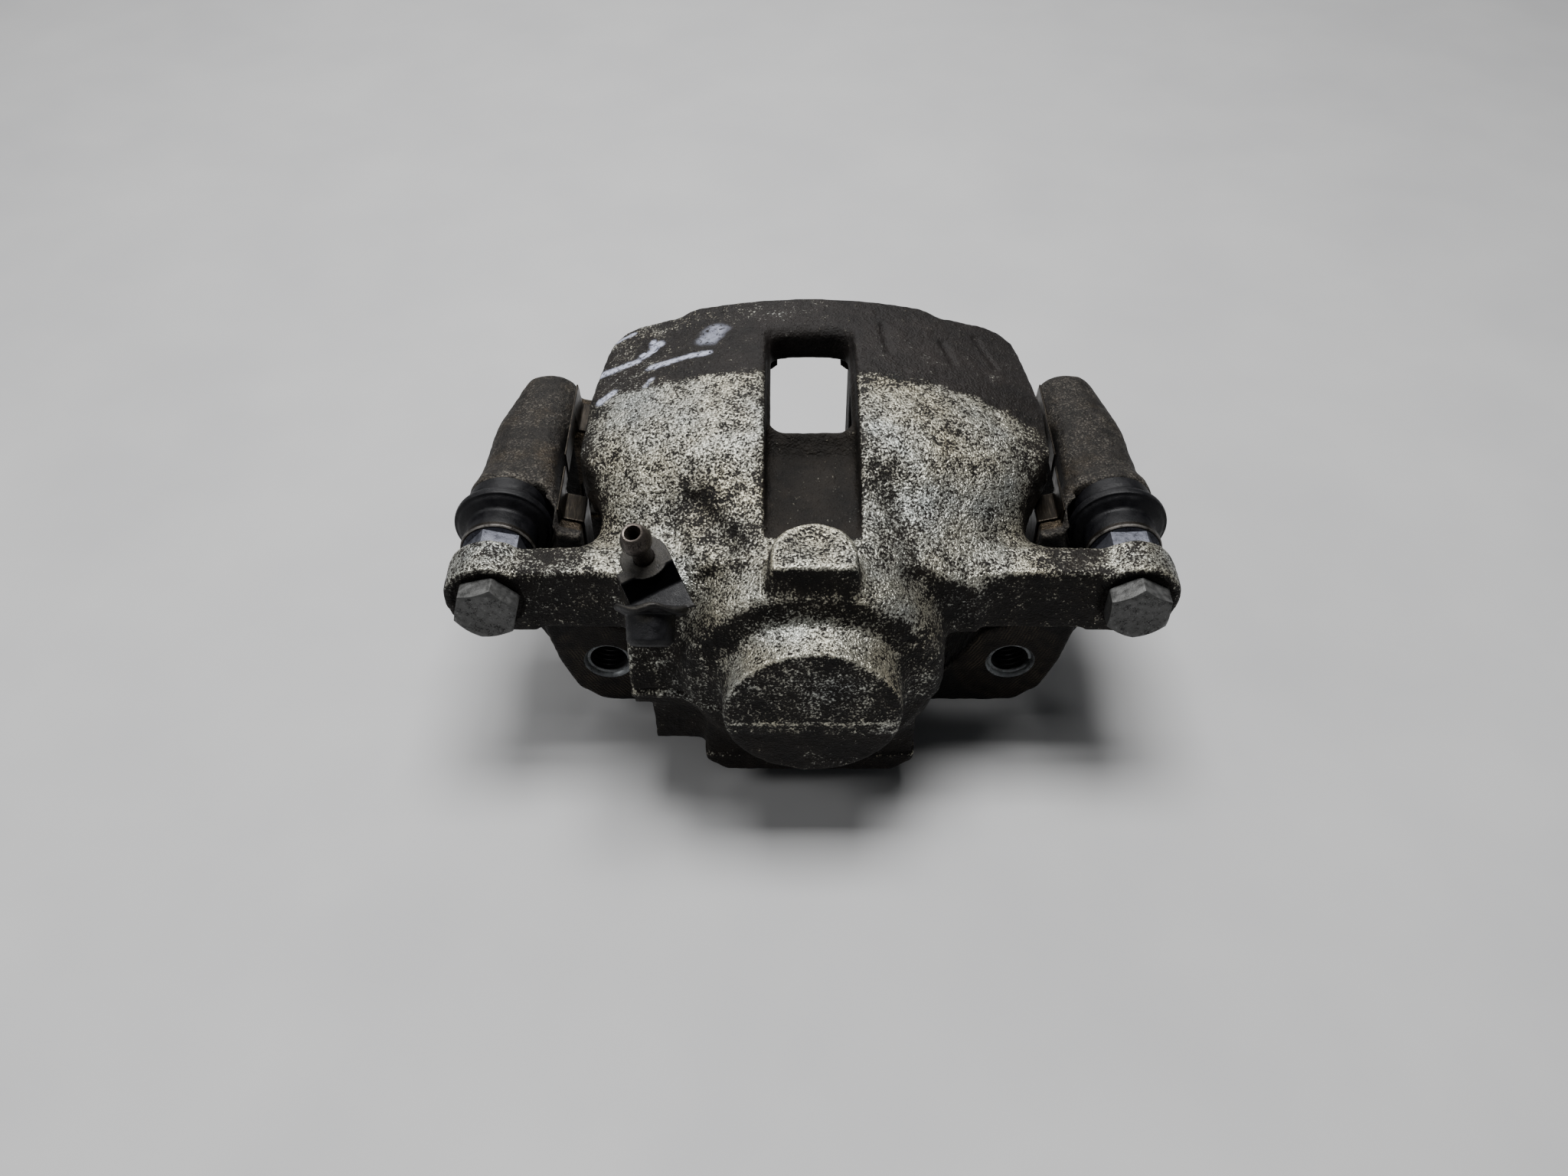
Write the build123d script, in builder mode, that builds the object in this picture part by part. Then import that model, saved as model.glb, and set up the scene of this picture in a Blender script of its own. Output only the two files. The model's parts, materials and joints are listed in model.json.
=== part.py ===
from build123d import *
import os
from math import sqrt

# Floating single-piston disc brake caliper on its carrier bracket, in millimetres.
# +Y runs outboard along the disc axis, +Z runs radially outward, +X completes the frame.
# The origin is midway between the two mounting holes, on the carrier's inboard mounting face.

os.makedirs("parts", exist_ok=True)

SIDES = {"left": -1, "right": 1}

# The brake disc, which is not part of the caliper but shapes the space inside it.
DISC_AXIS_Z = -85.5
DISC_CLEAR_R = 140.0
DISC_SLOT = (25.5, 51.5)

# Guide pins, their bolts and their boots.
PIN_X = 82.0
PIN_Z = 38.0
PIN_R = 6.2
PIN_BORE_R = 6.25
PIN_BORE_END_Y = 54.0
PIN_END_Y = 47.5
PIN_HEX_AF = 16.0
PIN_COLLAR_R = 10.0
PIN_COLLAR = (4.7, 6.6)
PIN_NECK_R = 7.0
PIN_NECK_END_Y = 11.0
BOLT_R = 4.5
BOLT_HOLE_R = 4.55
BOLT_END_Y = 15.0
BOLT_HEAD_AF = 15.0
BOLT_HEAD_HEIGHT = 5.5
BOLT_CHAMFER = 0.7
BOLT_TURN = {"left": 15.0, "right": 30.0}
PIN_TURN = {"left": -14.0, "right": 2.0}
SLEEVE = (34.5, 45.5)
SLEEVE_SEAT_R = 5.0
SLEEVE_R = 6.22

# Ears of the housing, which the guide bolts clamp.
EAR_FRONT_Y = -12.5
EAR_BACK_Y = -1.5
EAR_R = 11.5
EAR_BOTTOM_Z = 26.5
EAR_TOP_Z = 46.5
EAR_HOLE_R = 4.8

# Cylinder and piston.
CYL_Z = 24.0
CYL_R = 34.5
CYL_MOUTH_Y = 13.0
BORE_R = 27.0
BORE_BOTTOM_Y = -24.0
PISTON_R = 26.95
PISTON_REAR_Y = -20.5
PISTON_FACE_Y = 16.0
PISTON_CUP_R = 20.5
PISTON_CUP_FLOOR_Y = -12.0
CROWN_R = 22.3
CROWN_Y = -39.5
SEAL_GROOVE = (3.0, 6.6)
SEAL_GROOVE_R = 30.0
MOUTH_POCKET_R = 31.0
MOUTH_POCKET_Y = 9.0

# Bridge over the disc, its window and its two fingers.
BRIDGE_OUTER_R = 155.5
BRIDGE_LIP_R = 152.5
BRIDGE_INNER_R = 143.5
PAD_SPACE_R = 139.0
PAD_SPACE_END_Y = 26.0
BRIDGE_CREST_Y = 45.0
BRIDGE_END_Y = 79.5
BRIDGE_START_Y = 24.0
FINGER_Y = 64.0
FINGER_BOTTOM_Z = -3.0
FINGER_SLOT_HALF = 11.9
WINDOW_HALF = 10.8
WINDOW = (26.6, 62.0)
GROOVE_HALF = 11.8
PAD_SPACE_Y = 13.5

# Bleed screw: a tilted axis that rises from the casting's upper left shoulder.
BLEED_SEAT = Vector(-40.3, -15.5, 54.0)
BLEED_AXIS = Vector(-0.14, -0.27, 0.953).normalized()
BLEED_TWIST = 25.0
BLEED_R = 3.9
BLEED_HOLE_R = 3.95
BLEED_NECK_R = 2.5
BLEED_FACE = -6.0

# Hose inlet on the underside of the lower left lug.
PORT_X = -34.0
PORT_Y = -14.0
PORT_R = 4.5
PORT_LENGTH = 14.0
LUG_BOTTOM_Z = -8.0

# Carrier bracket.
MOUNT_HALF = 56.3
MOUNT_HOLE_R = 5.1
PLATE_THICK = 12.0
REST_Z = -24.0
ABUT_INNER_X = 61.0
ABUT_NOTCH_X = 67.0
ABUT_NOTCH_Z = (8.0, 21.0)
TOWER_SNOUT = (19.0, 23.4)
TOWER_SNOUT_R = 8.0
ARM_END_Y = 74.0

# Pad clips: thin spring steel that lines each abutment.
CLIP_THICK = 0.6
CLIP_GAP = 0.05


def turn(points, x, z, mode=Mode.ADD):
    """Revolve a closed outline of (radius, y) points about the line along Y through (x, z)."""
    with BuildSketch(Plane((x, 0, z))) as outline:
        with BuildLine():
            Polyline(*points, close=True)
        make_face()
    revolve(outline.sketch, axis=Axis((x, 0, z), (0, 1, 0)), mode=mode)


def slab(points, span, mode=Mode.ADD):
    """Extrude a closed outline of (x, z) points from y = span[0] to y = span[1]."""
    with BuildSketch(Plane.XZ.offset(-span[0])) as outline:
        with BuildLine():
            Polyline(*points, close=True)
        make_face()
    extrude(outline.sketch, amount=span[0] - span[1], mode=mode)


def bar(points, span, mode=Mode.ADD):
    """Extrude a closed outline of (y, z) points from x = span[0] to x = span[1]."""
    with BuildSketch(Plane.YZ.offset(span[0])) as outline:
        with BuildLine():
            Polyline(*points, close=True)
        make_face()
    extrude(outline.sketch, amount=span[1] - span[0], mode=mode)


def drum(radius, x, z, span, mode=Mode.ADD):
    """Round bar or hole along Y, centred on (x, z)."""
    turn([(0, span[0]), (radius, span[0]), (radius, span[1]), (0, span[1])], x, z, mode)


def section(y, points):
    """Closed face at y, from the (x, z) points of its right half."""
    with BuildSketch(Plane.XZ.offset(-y)) as outline:
        with BuildLine():
            Polyline(*points, *[(-x, z) for x, z in reversed(points)], close=True)
        make_face()
    return outline.sketch.face()


def hexagon(across_flats, angle, x, z, span):
    """Hexagonal bar along Y, with one corner at the given angle from +X."""
    with BuildSketch(Plane.XZ.offset(-span[0])) as outline:
        with Locations((x, z)):
            RegularPolygon(across_flats / 2, 6, major_radius=False, rotation=angle)
    extrude(outline.sketch, amount=span[0] - span[1])


def mirrored(points, side):
    """Outline for one side, given for the right side."""
    return [(side * x, z) for x, z in points]


def disc_cut(radius, span):
    """Clear the round space that the disc turns in."""
    drum(radius, 0, DISC_AXIS_Z, span, Mode.SUBTRACT)


bleed_plane = Plane(
    origin=BLEED_SEAT,
    x_dir=Vector(1, 0, 0).rotate(Axis((0, 0, 0), (0, 0, 1)), BLEED_TWIST),
    z_dir=BLEED_AXIS,
)


def bleed_turn(points, mode=Mode.ADD):
    """Revolve (radius, height) points about the bleed screw's axis."""
    plane = Plane(origin=BLEED_SEAT, x_dir=bleed_plane.x_dir, z_dir=-bleed_plane.y_dir)
    with BuildSketch(plane) as outline:
        with BuildLine():
            Polyline(*points, close=True)
        make_face()
    revolve(outline.sketch, axis=Axis(BLEED_SEAT, BLEED_AXIS), mode=mode)


# Housing: cylinder, shoulders, bridge, fingers and ears in one iron casting.
BRIDGE_HALF = 64.0
BRIDGE_PLAN = [
    (BRIDGE_HALF, BRIDGE_START_Y),
    (63.2, 40.0),
    (61.8, 54.0),
    (60.0, 67.0),
    (58.6, 73.0),
    (55.0, 77.0),
    (50.0, 77.6),
    (37.5, 76.6),
    (32.5, BRIDGE_END_Y),
]


def bridge_z(x):
    """Height of the bridge's outer surface at a distance x from the middle."""
    return DISC_AXIS_Z + sqrt(BRIDGE_OUTER_R**2 - x**2)


# Sections through the shoulders, right half, from the ears to the bridge: y and (x, z) points.
SHOULDERS = {
    -14.0: [(43, 27), (43, 42), (36, 46.5), (24, 53), (GROOVE_HALF, 57.5)],
    1.0: [(51, 31), (51, 44), (43, 50), (27, 57.5), (GROOVE_HALF, 61)],
    13.0: [(58.5, 39), (58.5, 48), (50, 56.5), (29, 65), (GROOVE_HALF, 68)],
    BRIDGE_START_Y: [(BRIDGE_HALF, 42)] + [(x, bridge_z(x)) for x in (BRIDGE_HALF, 50, 27, GROOVE_HALF)],
}

with BuildPart() as caliper_housing:
    # Bridge: a sector of a ring about the disc axis, trimmed to the plan outline.
    turn(
        [
            (BRIDGE_INNER_R, BRIDGE_START_Y),
            (BRIDGE_OUTER_R, BRIDGE_START_Y),
            (BRIDGE_OUTER_R, BRIDGE_CREST_Y),
            (BRIDGE_LIP_R, BRIDGE_END_Y),
            (BRIDGE_INNER_R, BRIDGE_END_Y),
        ],
        0,
        DISC_AXIS_Z,
    )
    with BuildSketch(Plane.XY) as plan:
        with BuildLine():
            Polyline(*BRIDGE_PLAN, *[(-x, y) for x, y in reversed(BRIDGE_PLAN)], close=True)
        make_face()
    extrude(plan.sketch, amount=BRIDGE_OUTER_R + DISC_AXIS_Z, mode=Mode.INTERSECT)
    # Shoulders: the loft from the ears up to the bridge.
    loft([section(y, points) for y, points in SHOULDERS.items()], ruled=True)
    # Cylinder and its raised crown.
    turn(
        [
            (0, CROWN_Y),
            (CROWN_R - 1.1, CROWN_Y),
            (CROWN_R, CROWN_Y + 1.1),
            (22.7, -30.0),
            (24.0, -28.6),
            (31.0, -28.0),
            (33.2, -25.6),
            (CYL_R, -17.0),
            (CYL_R, CYL_MOUTH_Y),
            (0, CYL_MOUTH_Y),
        ],
        0,
        CYL_Z,
    )
    # Two shallow facets of the crown meet in a level ridge.
    bar([(-41, 22), (CROWN_Y, 22), (CROWN_Y + 1.7, 47), (-41, 47)], (-24, 24), Mode.SUBTRACT)
    bar([(-41, 22), (CROWN_Y, 22), (CROWN_Y + 0.9, 0), (-41, 0)], (-24, 24), Mode.SUBTRACT)
    # Left block that carries the bleed drilling and the hose lug.
    bar([(-16, 47), (-24.5, 15), (-23, 9), (-7, 9), (-7, 47)], (-47, -20))
    bar([(-21.5, 14), (-21.5, LUG_BOTTOM_Z), (-7, LUG_BOTTOM_Z), (-7, 14)], (-42.5, -25.5))
    bleed_turn([(0, -22), (7.2, -22), (6.6, BLEED_FACE), (0, BLEED_FACE)])
    # Square foot below the cylinder.
    slab([(-28.5, 12), (-28.5, -12), (-23, -17), (23, -17), (28.5, -12), (28.5, 12)], (-25, -9))
    # Clamping pad on top of the cylinder, with a low round witness.
    slab([(-10.8, 45), (-10.8, 63), (-9.8, 64), (9.8, 64), (10.8, 63), (10.8, 45)], (-26.5, -10.5))
    with Locations((0, -18, 64)):
        Cone(5.2, 3.6, 1.0, align=(Align.CENTER, Align.CENTER, Align.MIN))
    # Ears.
    for side in SIDES.values():
        slab(
            mirrored(
                [(40, EAR_BOTTOM_Z), (40, EAR_TOP_Z + 1), (PIN_X, EAR_TOP_Z), (PIN_X, EAR_BOTTOM_Z)],
                side,
            ),
            (EAR_FRONT_Y + 1, EAR_BACK_Y),
        )
        drum(EAR_R, side * PIN_X, PIN_Z, (EAR_FRONT_Y, EAR_BACK_Y))
        slab(
            mirrored(
                [(PIN_X - EAR_R, EAR_BOTTOM_Z), (PIN_X - EAR_R, PIN_Z), (PIN_X + EAR_R, PIN_Z),
                 (PIN_X + EAR_R - 1.5, 31), (PIN_X + 5, EAR_BOTTOM_Z)],
                side,
            ),
            (EAR_FRONT_Y, EAR_BACK_Y),
        )
        # Web that carries the ear into the shoulder.
        with BuildSketch(Plane.XY.offset(EAR_BOTTOM_Z + 4)) as web:
            with BuildLine():
                Polyline(
                    (side * 40, EAR_BACK_Y - 2),
                    (side * 66, EAR_BACK_Y - 2),
                    (side * 54, 7),
                    (side * 40, 9),
                    close=True,
                )
            make_face()
        extrude(web.sketch, amount=14)
    # Space for the pads and the disc, then the groove and the window.
    disc_cut(PAD_SPACE_R, (PAD_SPACE_Y, BRIDGE_END_Y + 1))
    disc_cut(BRIDGE_INNER_R, (PAD_SPACE_END_Y, BRIDGE_END_Y + 1))
    slab([(-46, 5), (-66, 5), (-66, 44), (-46, 44)], (9.5, PAD_SPACE_Y + 1), Mode.SUBTRACT)
    bar(
        [(-10.5, 56.8), (20.9, 56.8), (26.6, 62.0), (60, 65.6), (71, 71), (71, 75), (-10.5, 75)],
        (-GROOVE_HALF, GROOVE_HALF),
        Mode.SUBTRACT,
    )
    # Fingers, joined by the bridge above their slot.
    slab(
        [
            (-39, 55), (-39, 16), (-33, 3), (-29, FINGER_BOTTOM_Z),
            (29, FINGER_BOTTOM_Z), (33, 3), (39, 16), (39, 55),
        ],
        (FINGER_Y, BRIDGE_END_Y),
    )
    slab(
        [
            (-FINGER_SLOT_HALF, FINGER_BOTTOM_Z - 1),
            (-FINGER_SLOT_HALF, 52),
            (-7, 56.2),
            (7, 56.2),
            (FINGER_SLOT_HALF, 52),
            (FINGER_SLOT_HALF, FINGER_BOTTOM_Z - 1),
        ],
        (FINGER_Y - 1, BRIDGE_END_Y + 1),
        Mode.SUBTRACT,
    )
    with BuildSketch(Plane.XY.offset(40)) as window:
        with Locations((0, (WINDOW[0] + WINDOW[1]) / 2)):
            RectangleRounded(2 * WINDOW_HALF, WINDOW[1] - WINDOW[0], 3.0)
    extrude(window.sketch, amount=40, mode=Mode.SUBTRACT)
    # Bore, seal groove and the pocket for the dust boot.
    drum(BORE_R, 0, CYL_Z, (BORE_BOTTOM_Y, CYL_MOUTH_Y + 1), Mode.SUBTRACT)
    drum(SEAL_GROOVE_R, 0, CYL_Z, SEAL_GROOVE, Mode.SUBTRACT)
    drum(MOUTH_POCKET_R, 0, CYL_Z, (MOUTH_POCKET_Y, CYL_MOUTH_Y + 1), Mode.SUBTRACT)
    # Bolt holes through the ears.
    for side in SIDES.values():
        drum(EAR_HOLE_R, side * PIN_X, PIN_Z, (EAR_FRONT_Y - 1, EAR_BACK_Y + 1), Mode.SUBTRACT)
    # Bleed drilling and hose inlet, which both lead to the bore.
    bleed_turn([(0, BLEED_FACE), (7.4, BLEED_FACE), (7.4, 24), (0, 24)], Mode.SUBTRACT)
    bleed_turn([(0, -26.4), (BLEED_HOLE_R, -22.4), (BLEED_HOLE_R, 3), (0, 3)], Mode.SUBTRACT)
    with Locations((PORT_X, PORT_Y, LUG_BOTTOM_Z)):
        Cylinder(PORT_R, PORT_LENGTH, align=(Align.CENTER, Align.CENTER, Align.MIN), mode=Mode.SUBTRACT)
    with Locations((PORT_X, PORT_Y, LUG_BOTTOM_Z)):
        Cone(PORT_R + 1, PORT_R, 1, align=(Align.CENTER, Align.CENTER, Align.MIN), mode=Mode.SUBTRACT)
caliper_housing.part.label = "caliper_housing"
export_step(caliper_housing.part, "parts/caliper_housing.step")

# Carrier bracket: mounting plate, pad abutments, pin towers and two tie beams.
PLATE = [
    (0, REST_Z), (22, REST_Z), (33, -17), (59, -17), (66, -11), (70, 0), (73, 16), (76, 25),
    (62, 25), (60, 18), (47, 12), (40, 0), (34, -9), (0, -9),
]
INNER_ABUTMENT = [
    (ABUT_INNER_X, 39), (66.9, 40.5), (69.5, 44), (82, 46), (90, 40), (89, 30), (80, 10), (73, -5),
    (64, -13), (62.5, -12), (62.5, 7), (ABUT_INNER_X, 7),
]
OUTER_ABUTMENT = [
    (ABUT_INNER_X, 39), (66.9, 40.5), (69.5, 45), (78, 46.5), (84, 44), (86, 38), (84, 27), (78, 8),
    (72, -8), (60, REST_Z), (50, REST_Z), (52, -14), (62.5, -8), (62.5, 7), (ABUT_INNER_X, 7),
]
ARM_SHELF = [(69, 33), (69, 44), (73, 46.5), (82, 46.5), (82, 29)]
ARM_END = [(68, 30), (68, 43), (73, 46), (79, 45.5), (84, 41), (83, 28)]
OUTER_BEAM = [(0, REST_Z), (56, REST_Z), (62, -12), (52, -10), (0, -10)]

with BuildPart() as carrier_bracket:
    for side in SIDES.values():
        slab(mirrored(PLATE, side), (0, PLATE_THICK))
        slab(mirrored(INNER_ABUTMENT, side), (PLATE_THICK - 2, DISC_SLOT[0]))
        # Room for the pin boot in front of the tower.
        drum(14.2, side * PIN_X, PIN_Z, (-1, TOWER_SNOUT[0] + 0.5), Mode.SUBTRACT)
        # Arm over the disc, with the tower around the pin bore.
        turn(
            [
                (0, TOWER_SNOUT[1] - 1),
                (11.2, TOWER_SNOUT[1] - 1),
                (10.6, 26),
                (8.9, 31),
                (8.1, 45),
                (7.8, 54),
                (6.2, 59),
                (5.0, 66),
                (0, 66),
            ],
            side * PIN_X,
            PIN_Z,
        )
        slab(mirrored(ARM_SHELF, side), (TOWER_SNOUT[1], ARM_END_Y - 3))
        slab(mirrored(OUTER_ABUTMENT, side), (DISC_SLOT[1], 68))
        slab(mirrored(ARM_END, side), (66, ARM_END_Y))
        slab(mirrored(OUTER_BEAM, side), (59, 71))
    drum(36.8, 0, CYL_Z, (-1, PLATE_THICK + 12), Mode.SUBTRACT)
    disc_cut(DISC_CLEAR_R, DISC_SLOT)
    for side in SIDES.values():
        # Snout that the pin boot grips, then the pin bore through it.
        drum(12.6, side * PIN_X, PIN_Z, (TOWER_SNOUT[0] - 1, TOWER_SNOUT[1]), Mode.SUBTRACT)
        drum(TOWER_SNOUT_R, side * PIN_X, PIN_Z, (TOWER_SNOUT[0], TOWER_SNOUT[1] + 1))
        drum(PIN_BORE_R, side * PIN_X, PIN_Z, (TOWER_SNOUT[0] - 1, PIN_BORE_END_Y), Mode.SUBTRACT)
        # Pad guide notches, open towards the disc.
        slab(
            mirrored(
                [(50, ABUT_NOTCH_Z[0]), (ABUT_NOTCH_X, ABUT_NOTCH_Z[0]),
                 (ABUT_NOTCH_X, ABUT_NOTCH_Z[1]), (50, ABUT_NOTCH_Z[1])],
                side,
            ),
            (PLATE_THICK, 69),
            Mode.SUBTRACT,
        )
        # Threaded mounting hole, at the thread's minor diameter.
        drum(MOUNT_HOLE_R, side * MOUNT_HALF, 0, (-1, PLATE_THICK + 1), Mode.SUBTRACT)
carrier_bracket.part.label = "carrier_bracket"
export_step(carrier_bracket.part, "parts/carrier_bracket.step")

# Piston: a steel cup, open towards the pad, with a groove for the dust boot's lip.
with BuildPart() as piston:
    turn(
        [
            (0, PISTON_REAR_Y),
            (PISTON_R - 1.5, PISTON_REAR_Y),
            (PISTON_R, PISTON_REAR_Y + 2),
            (PISTON_R, 11.2),
            (25.0, 11.2),
            (25.0, 13.6),
            (PISTON_R - 0.4, 13.6),
            (PISTON_R - 0.4, PISTON_FACE_Y - 0.6),
            (PISTON_R - 1.0, PISTON_FACE_Y),
            (PISTON_CUP_R + 0.8, PISTON_FACE_Y),
            (PISTON_CUP_R, PISTON_FACE_Y - 0.8),
            (PISTON_CUP_R - 1.0, PISTON_CUP_FLOOR_Y),
            (0, PISTON_CUP_FLOOR_Y),
        ],
        0,
        CYL_Z,
    )
piston.part.label = "piston"
export_step(piston.part, "parts/piston.step")

# Square-section seal in the bore's groove.
with BuildPart() as piston_seal:
    turn(
        [
            (BORE_R - 0.03, SEAL_GROOVE[0] + 0.1),
            (SEAL_GROOVE_R - 0.1, SEAL_GROOVE[0] + 0.1),
            (SEAL_GROOVE_R - 0.1, SEAL_GROOVE[1] - 0.1),
            (BORE_R - 0.03, SEAL_GROOVE[1] - 0.1),
        ],
        0,
        CYL_Z,
    )
piston_seal.part.label = "piston_seal"
export_step(piston_seal.part, "parts/piston_seal.step")

# Dust boot: an outer bead in the pocket, one fold, and a lip in the piston's groove.
with BuildPart() as piston_dust_boot:
    turn(
        [
            (28.6, MOUTH_POCKET_Y + 0.05),
            (29.9, MOUTH_POCKET_Y + 0.05),
            (29.9, 12.6),
            (29.2, 14.6),
            (28.0, 15.0),
            (27.2, 13.3),
            (25.1, 13.3),
            (25.1, 11.6),
            (27.6, 11.6),
            (28.4, 13.4),
            (28.6, 12.4),
        ],
        0,
        CYL_Z,
    )
piston_dust_boot.part.label = "piston_dust_boot"
export_step(piston_dust_boot.part, "parts/piston_dust_boot.step")

# Pressed steel ring that holds the boot's bead in the pocket.
with BuildPart() as dust_boot_ring:
    turn(
        [
            (29.95, MOUTH_POCKET_Y + 0.3),
            (MOUTH_POCKET_R, MOUTH_POCKET_Y + 0.3),
            (MOUTH_POCKET_R, CYL_MOUTH_Y - 0.2),
            (29.95, CYL_MOUTH_Y - 0.2),
        ],
        0,
        CYL_Z,
    )
dust_boot_ring.part.label = "dust_boot_ring"
export_step(dust_boot_ring.part, "parts/dust_boot_ring.step")


def guide_pin(name, side):
    """Hexagon, collar, boot neck and ground shank, drilled for the guide bolt."""
    with BuildPart() as pin:
        hexagon(PIN_HEX_AF, PIN_TURN[name], side * PIN_X, PIN_Z, (EAR_BACK_Y, PIN_COLLAR[0]))
        drum(PIN_COLLAR_R, side * PIN_X, PIN_Z, PIN_COLLAR)
        shank = [
            (0, PIN_COLLAR[1] - 1),
            (PIN_NECK_R, PIN_COLLAR[1] - 1),
            (PIN_NECK_R, PIN_NECK_END_Y),
            (PIN_R, PIN_NECK_END_Y + 0.8),
            (PIN_R, PIN_END_Y - 1),
            (PIN_R - 1, PIN_END_Y),
            (0, PIN_END_Y),
        ]
        turn(shank, side * PIN_X, PIN_Z)
        drum(BOLT_HOLE_R, side * PIN_X, PIN_Z, (EAR_BACK_Y - 1, BOLT_END_Y + 2), Mode.SUBTRACT)
        if name == "right":
            seat = [
                (SLEEVE_SEAT_R, SLEEVE[0]),
                (PIN_R + 1, SLEEVE[0]),
                (PIN_R + 1, SLEEVE[1]),
                (SLEEVE_SEAT_R, SLEEVE[1]),
            ]
            turn(seat, side * PIN_X, PIN_Z, Mode.SUBTRACT)
    return pin.part


def guide_bolt(name, side):
    """Hexagon head with a chamfered face, and a shank at the thread's pitch diameter."""
    face_y = EAR_FRONT_Y - BOLT_HEAD_HEIGHT
    with BuildPart() as bolt:
        hexagon(BOLT_HEAD_AF, BOLT_TURN[name], side * PIN_X, PIN_Z, (face_y, EAR_FRONT_Y))
        chamfered = [
            (0, face_y),
            (BOLT_HEAD_AF / 2 - 0.3, face_y),
            (BOLT_HEAD_AF / 2 + BOLT_CHAMFER * 2, face_y + BOLT_CHAMFER * 1.4),
            (BOLT_HEAD_AF / 2 + BOLT_CHAMFER * 2, EAR_FRONT_Y),
            (0, EAR_FRONT_Y),
        ]
        turn(chamfered, side * PIN_X, PIN_Z, Mode.INTERSECT)
        drum(BOLT_R, side * PIN_X, PIN_Z, (EAR_FRONT_Y - 1, BOLT_END_Y))
    return bolt.part


def pin_boot(side):
    """Rubber boot: small collar on the pin, one wide fold, and a collar on the tower's snout."""
    with BuildPart() as boot:
        fold = [
            (7.1, 6.7), (9.2, 6.7), (9.0, 12.0), (12.0, 13.4), (13.1, 14.4), (13.1, 16.6), (12.4, 17.6),
            (10.8, 18.4), (10.6, 23.3), (8.1, 23.3), (8.1, 18.4), (11.6, 16.6), (11.8, 15.4), (7.8, 13.4),
            (7.1, 11.2),
        ]
        turn(fold, side * PIN_X, PIN_Z)
    return boot.part


def pad_clip(side, span, leaf_span, top_z):
    """Spring-steel liner: a sheet down the abutment and into its notch, with a long leaf at the top."""
    t = CLIP_THICK
    face = ABUT_INNER_X - CLIP_GAP
    notch = ABUT_NOTCH_X - CLIP_GAP
    low, high = ABUT_NOTCH_Z[0] + CLIP_GAP, ABUT_NOTCH_Z[1] - CLIP_GAP
    outline = [
        (face, 7.2), (face, low), (notch, low), (notch, high), (face, high), (face, 39.1), (66.5, 40.6),
        (66.9, top_z), (66.9 - t, top_z), (66.4 - t, 41.2), (face - t, 39.7), (face - t, high - t),
        (notch - t, high - t), (notch - t, low + t), (face - t, low + t), (face - t, 7.2),
    ]
    leaf = [(66.9 - t, 41.3), (66.9, 41.3), (66.9, top_z), (66.9 - t, top_z)]
    with BuildPart() as clip:
        slab(mirrored(outline, side), span)
        slab(mirrored(leaf, side), leaf_span)
    return clip.part


CLIPS = {"inboard": ((15.0, 25.0), (13.0, 30.5), 46.0), "outboard": ((52.0, 64.0), (33.0, 64.0), 48.0)}

for name, side in SIDES.items():
    pieces = {
        f"guide_pin_{name}": guide_pin(name, side),
        f"guide_bolt_{name}": guide_bolt(name, side),
        f"pin_boot_{name}": pin_boot(side),
    }
    for place, (span, leaf_span, top_z) in CLIPS.items():
        pieces[f"pad_clip_{place}_{name}"] = pad_clip(side, span, leaf_span, top_z)
    for node, piece in pieces.items():
        piece.label = node
        export_step(piece, f"parts/{node}.step")

# Damping sleeve near the tip of the right guide pin.
with BuildPart() as guide_pin_sleeve:
    turn(
        [
            (SLEEVE_SEAT_R + 0.02, SLEEVE[0] + 0.1),
            (SLEEVE_R, SLEEVE[0] + 0.1),
            (SLEEVE_R, SLEEVE[1] - 0.1),
            (SLEEVE_SEAT_R + 0.02, SLEEVE[1] - 0.1),
        ],
        PIN_X,
        PIN_Z,
    )
guide_pin_sleeve.part.label = "guide_pin_sleeve"
export_step(guide_pin_sleeve.part, "parts/guide_pin_sleeve.step")

# Bleed screw: seat cone, shank, hexagon, neck and hose nipple, drilled down its axis.
NIPPLE_TOP = 15.5
with BuildPart() as bleed_screw:
    bleed_turn(
        [
            (0, -25.0),
            (0.8, -25.0),
            (BLEED_R, -21.8),
            (BLEED_R, -1.0),
            (BLEED_NECK_R, -1.0),
            (BLEED_NECK_R, 9.5),
            (3.6, 11.0),
            (3.6, 13.0),
            (2.6, NIPPLE_TOP),
            (0, NIPPLE_TOP),
        ]
    )
    with BuildSketch(bleed_plane.offset(-5.2)) as flats:
        RegularPolygon(5.0, 6, major_radius=False)
    extrude(flats.sketch, amount=5.4)
    bleed_turn([(0, -18), (1.3, -18), (1.3, NIPPLE_TOP + 1), (0, NIPPLE_TOP + 1)], Mode.SUBTRACT)
bleed_screw.part.label = "bleed_screw"
export_step(bleed_screw.part, "parts/bleed_screw.step")

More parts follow.
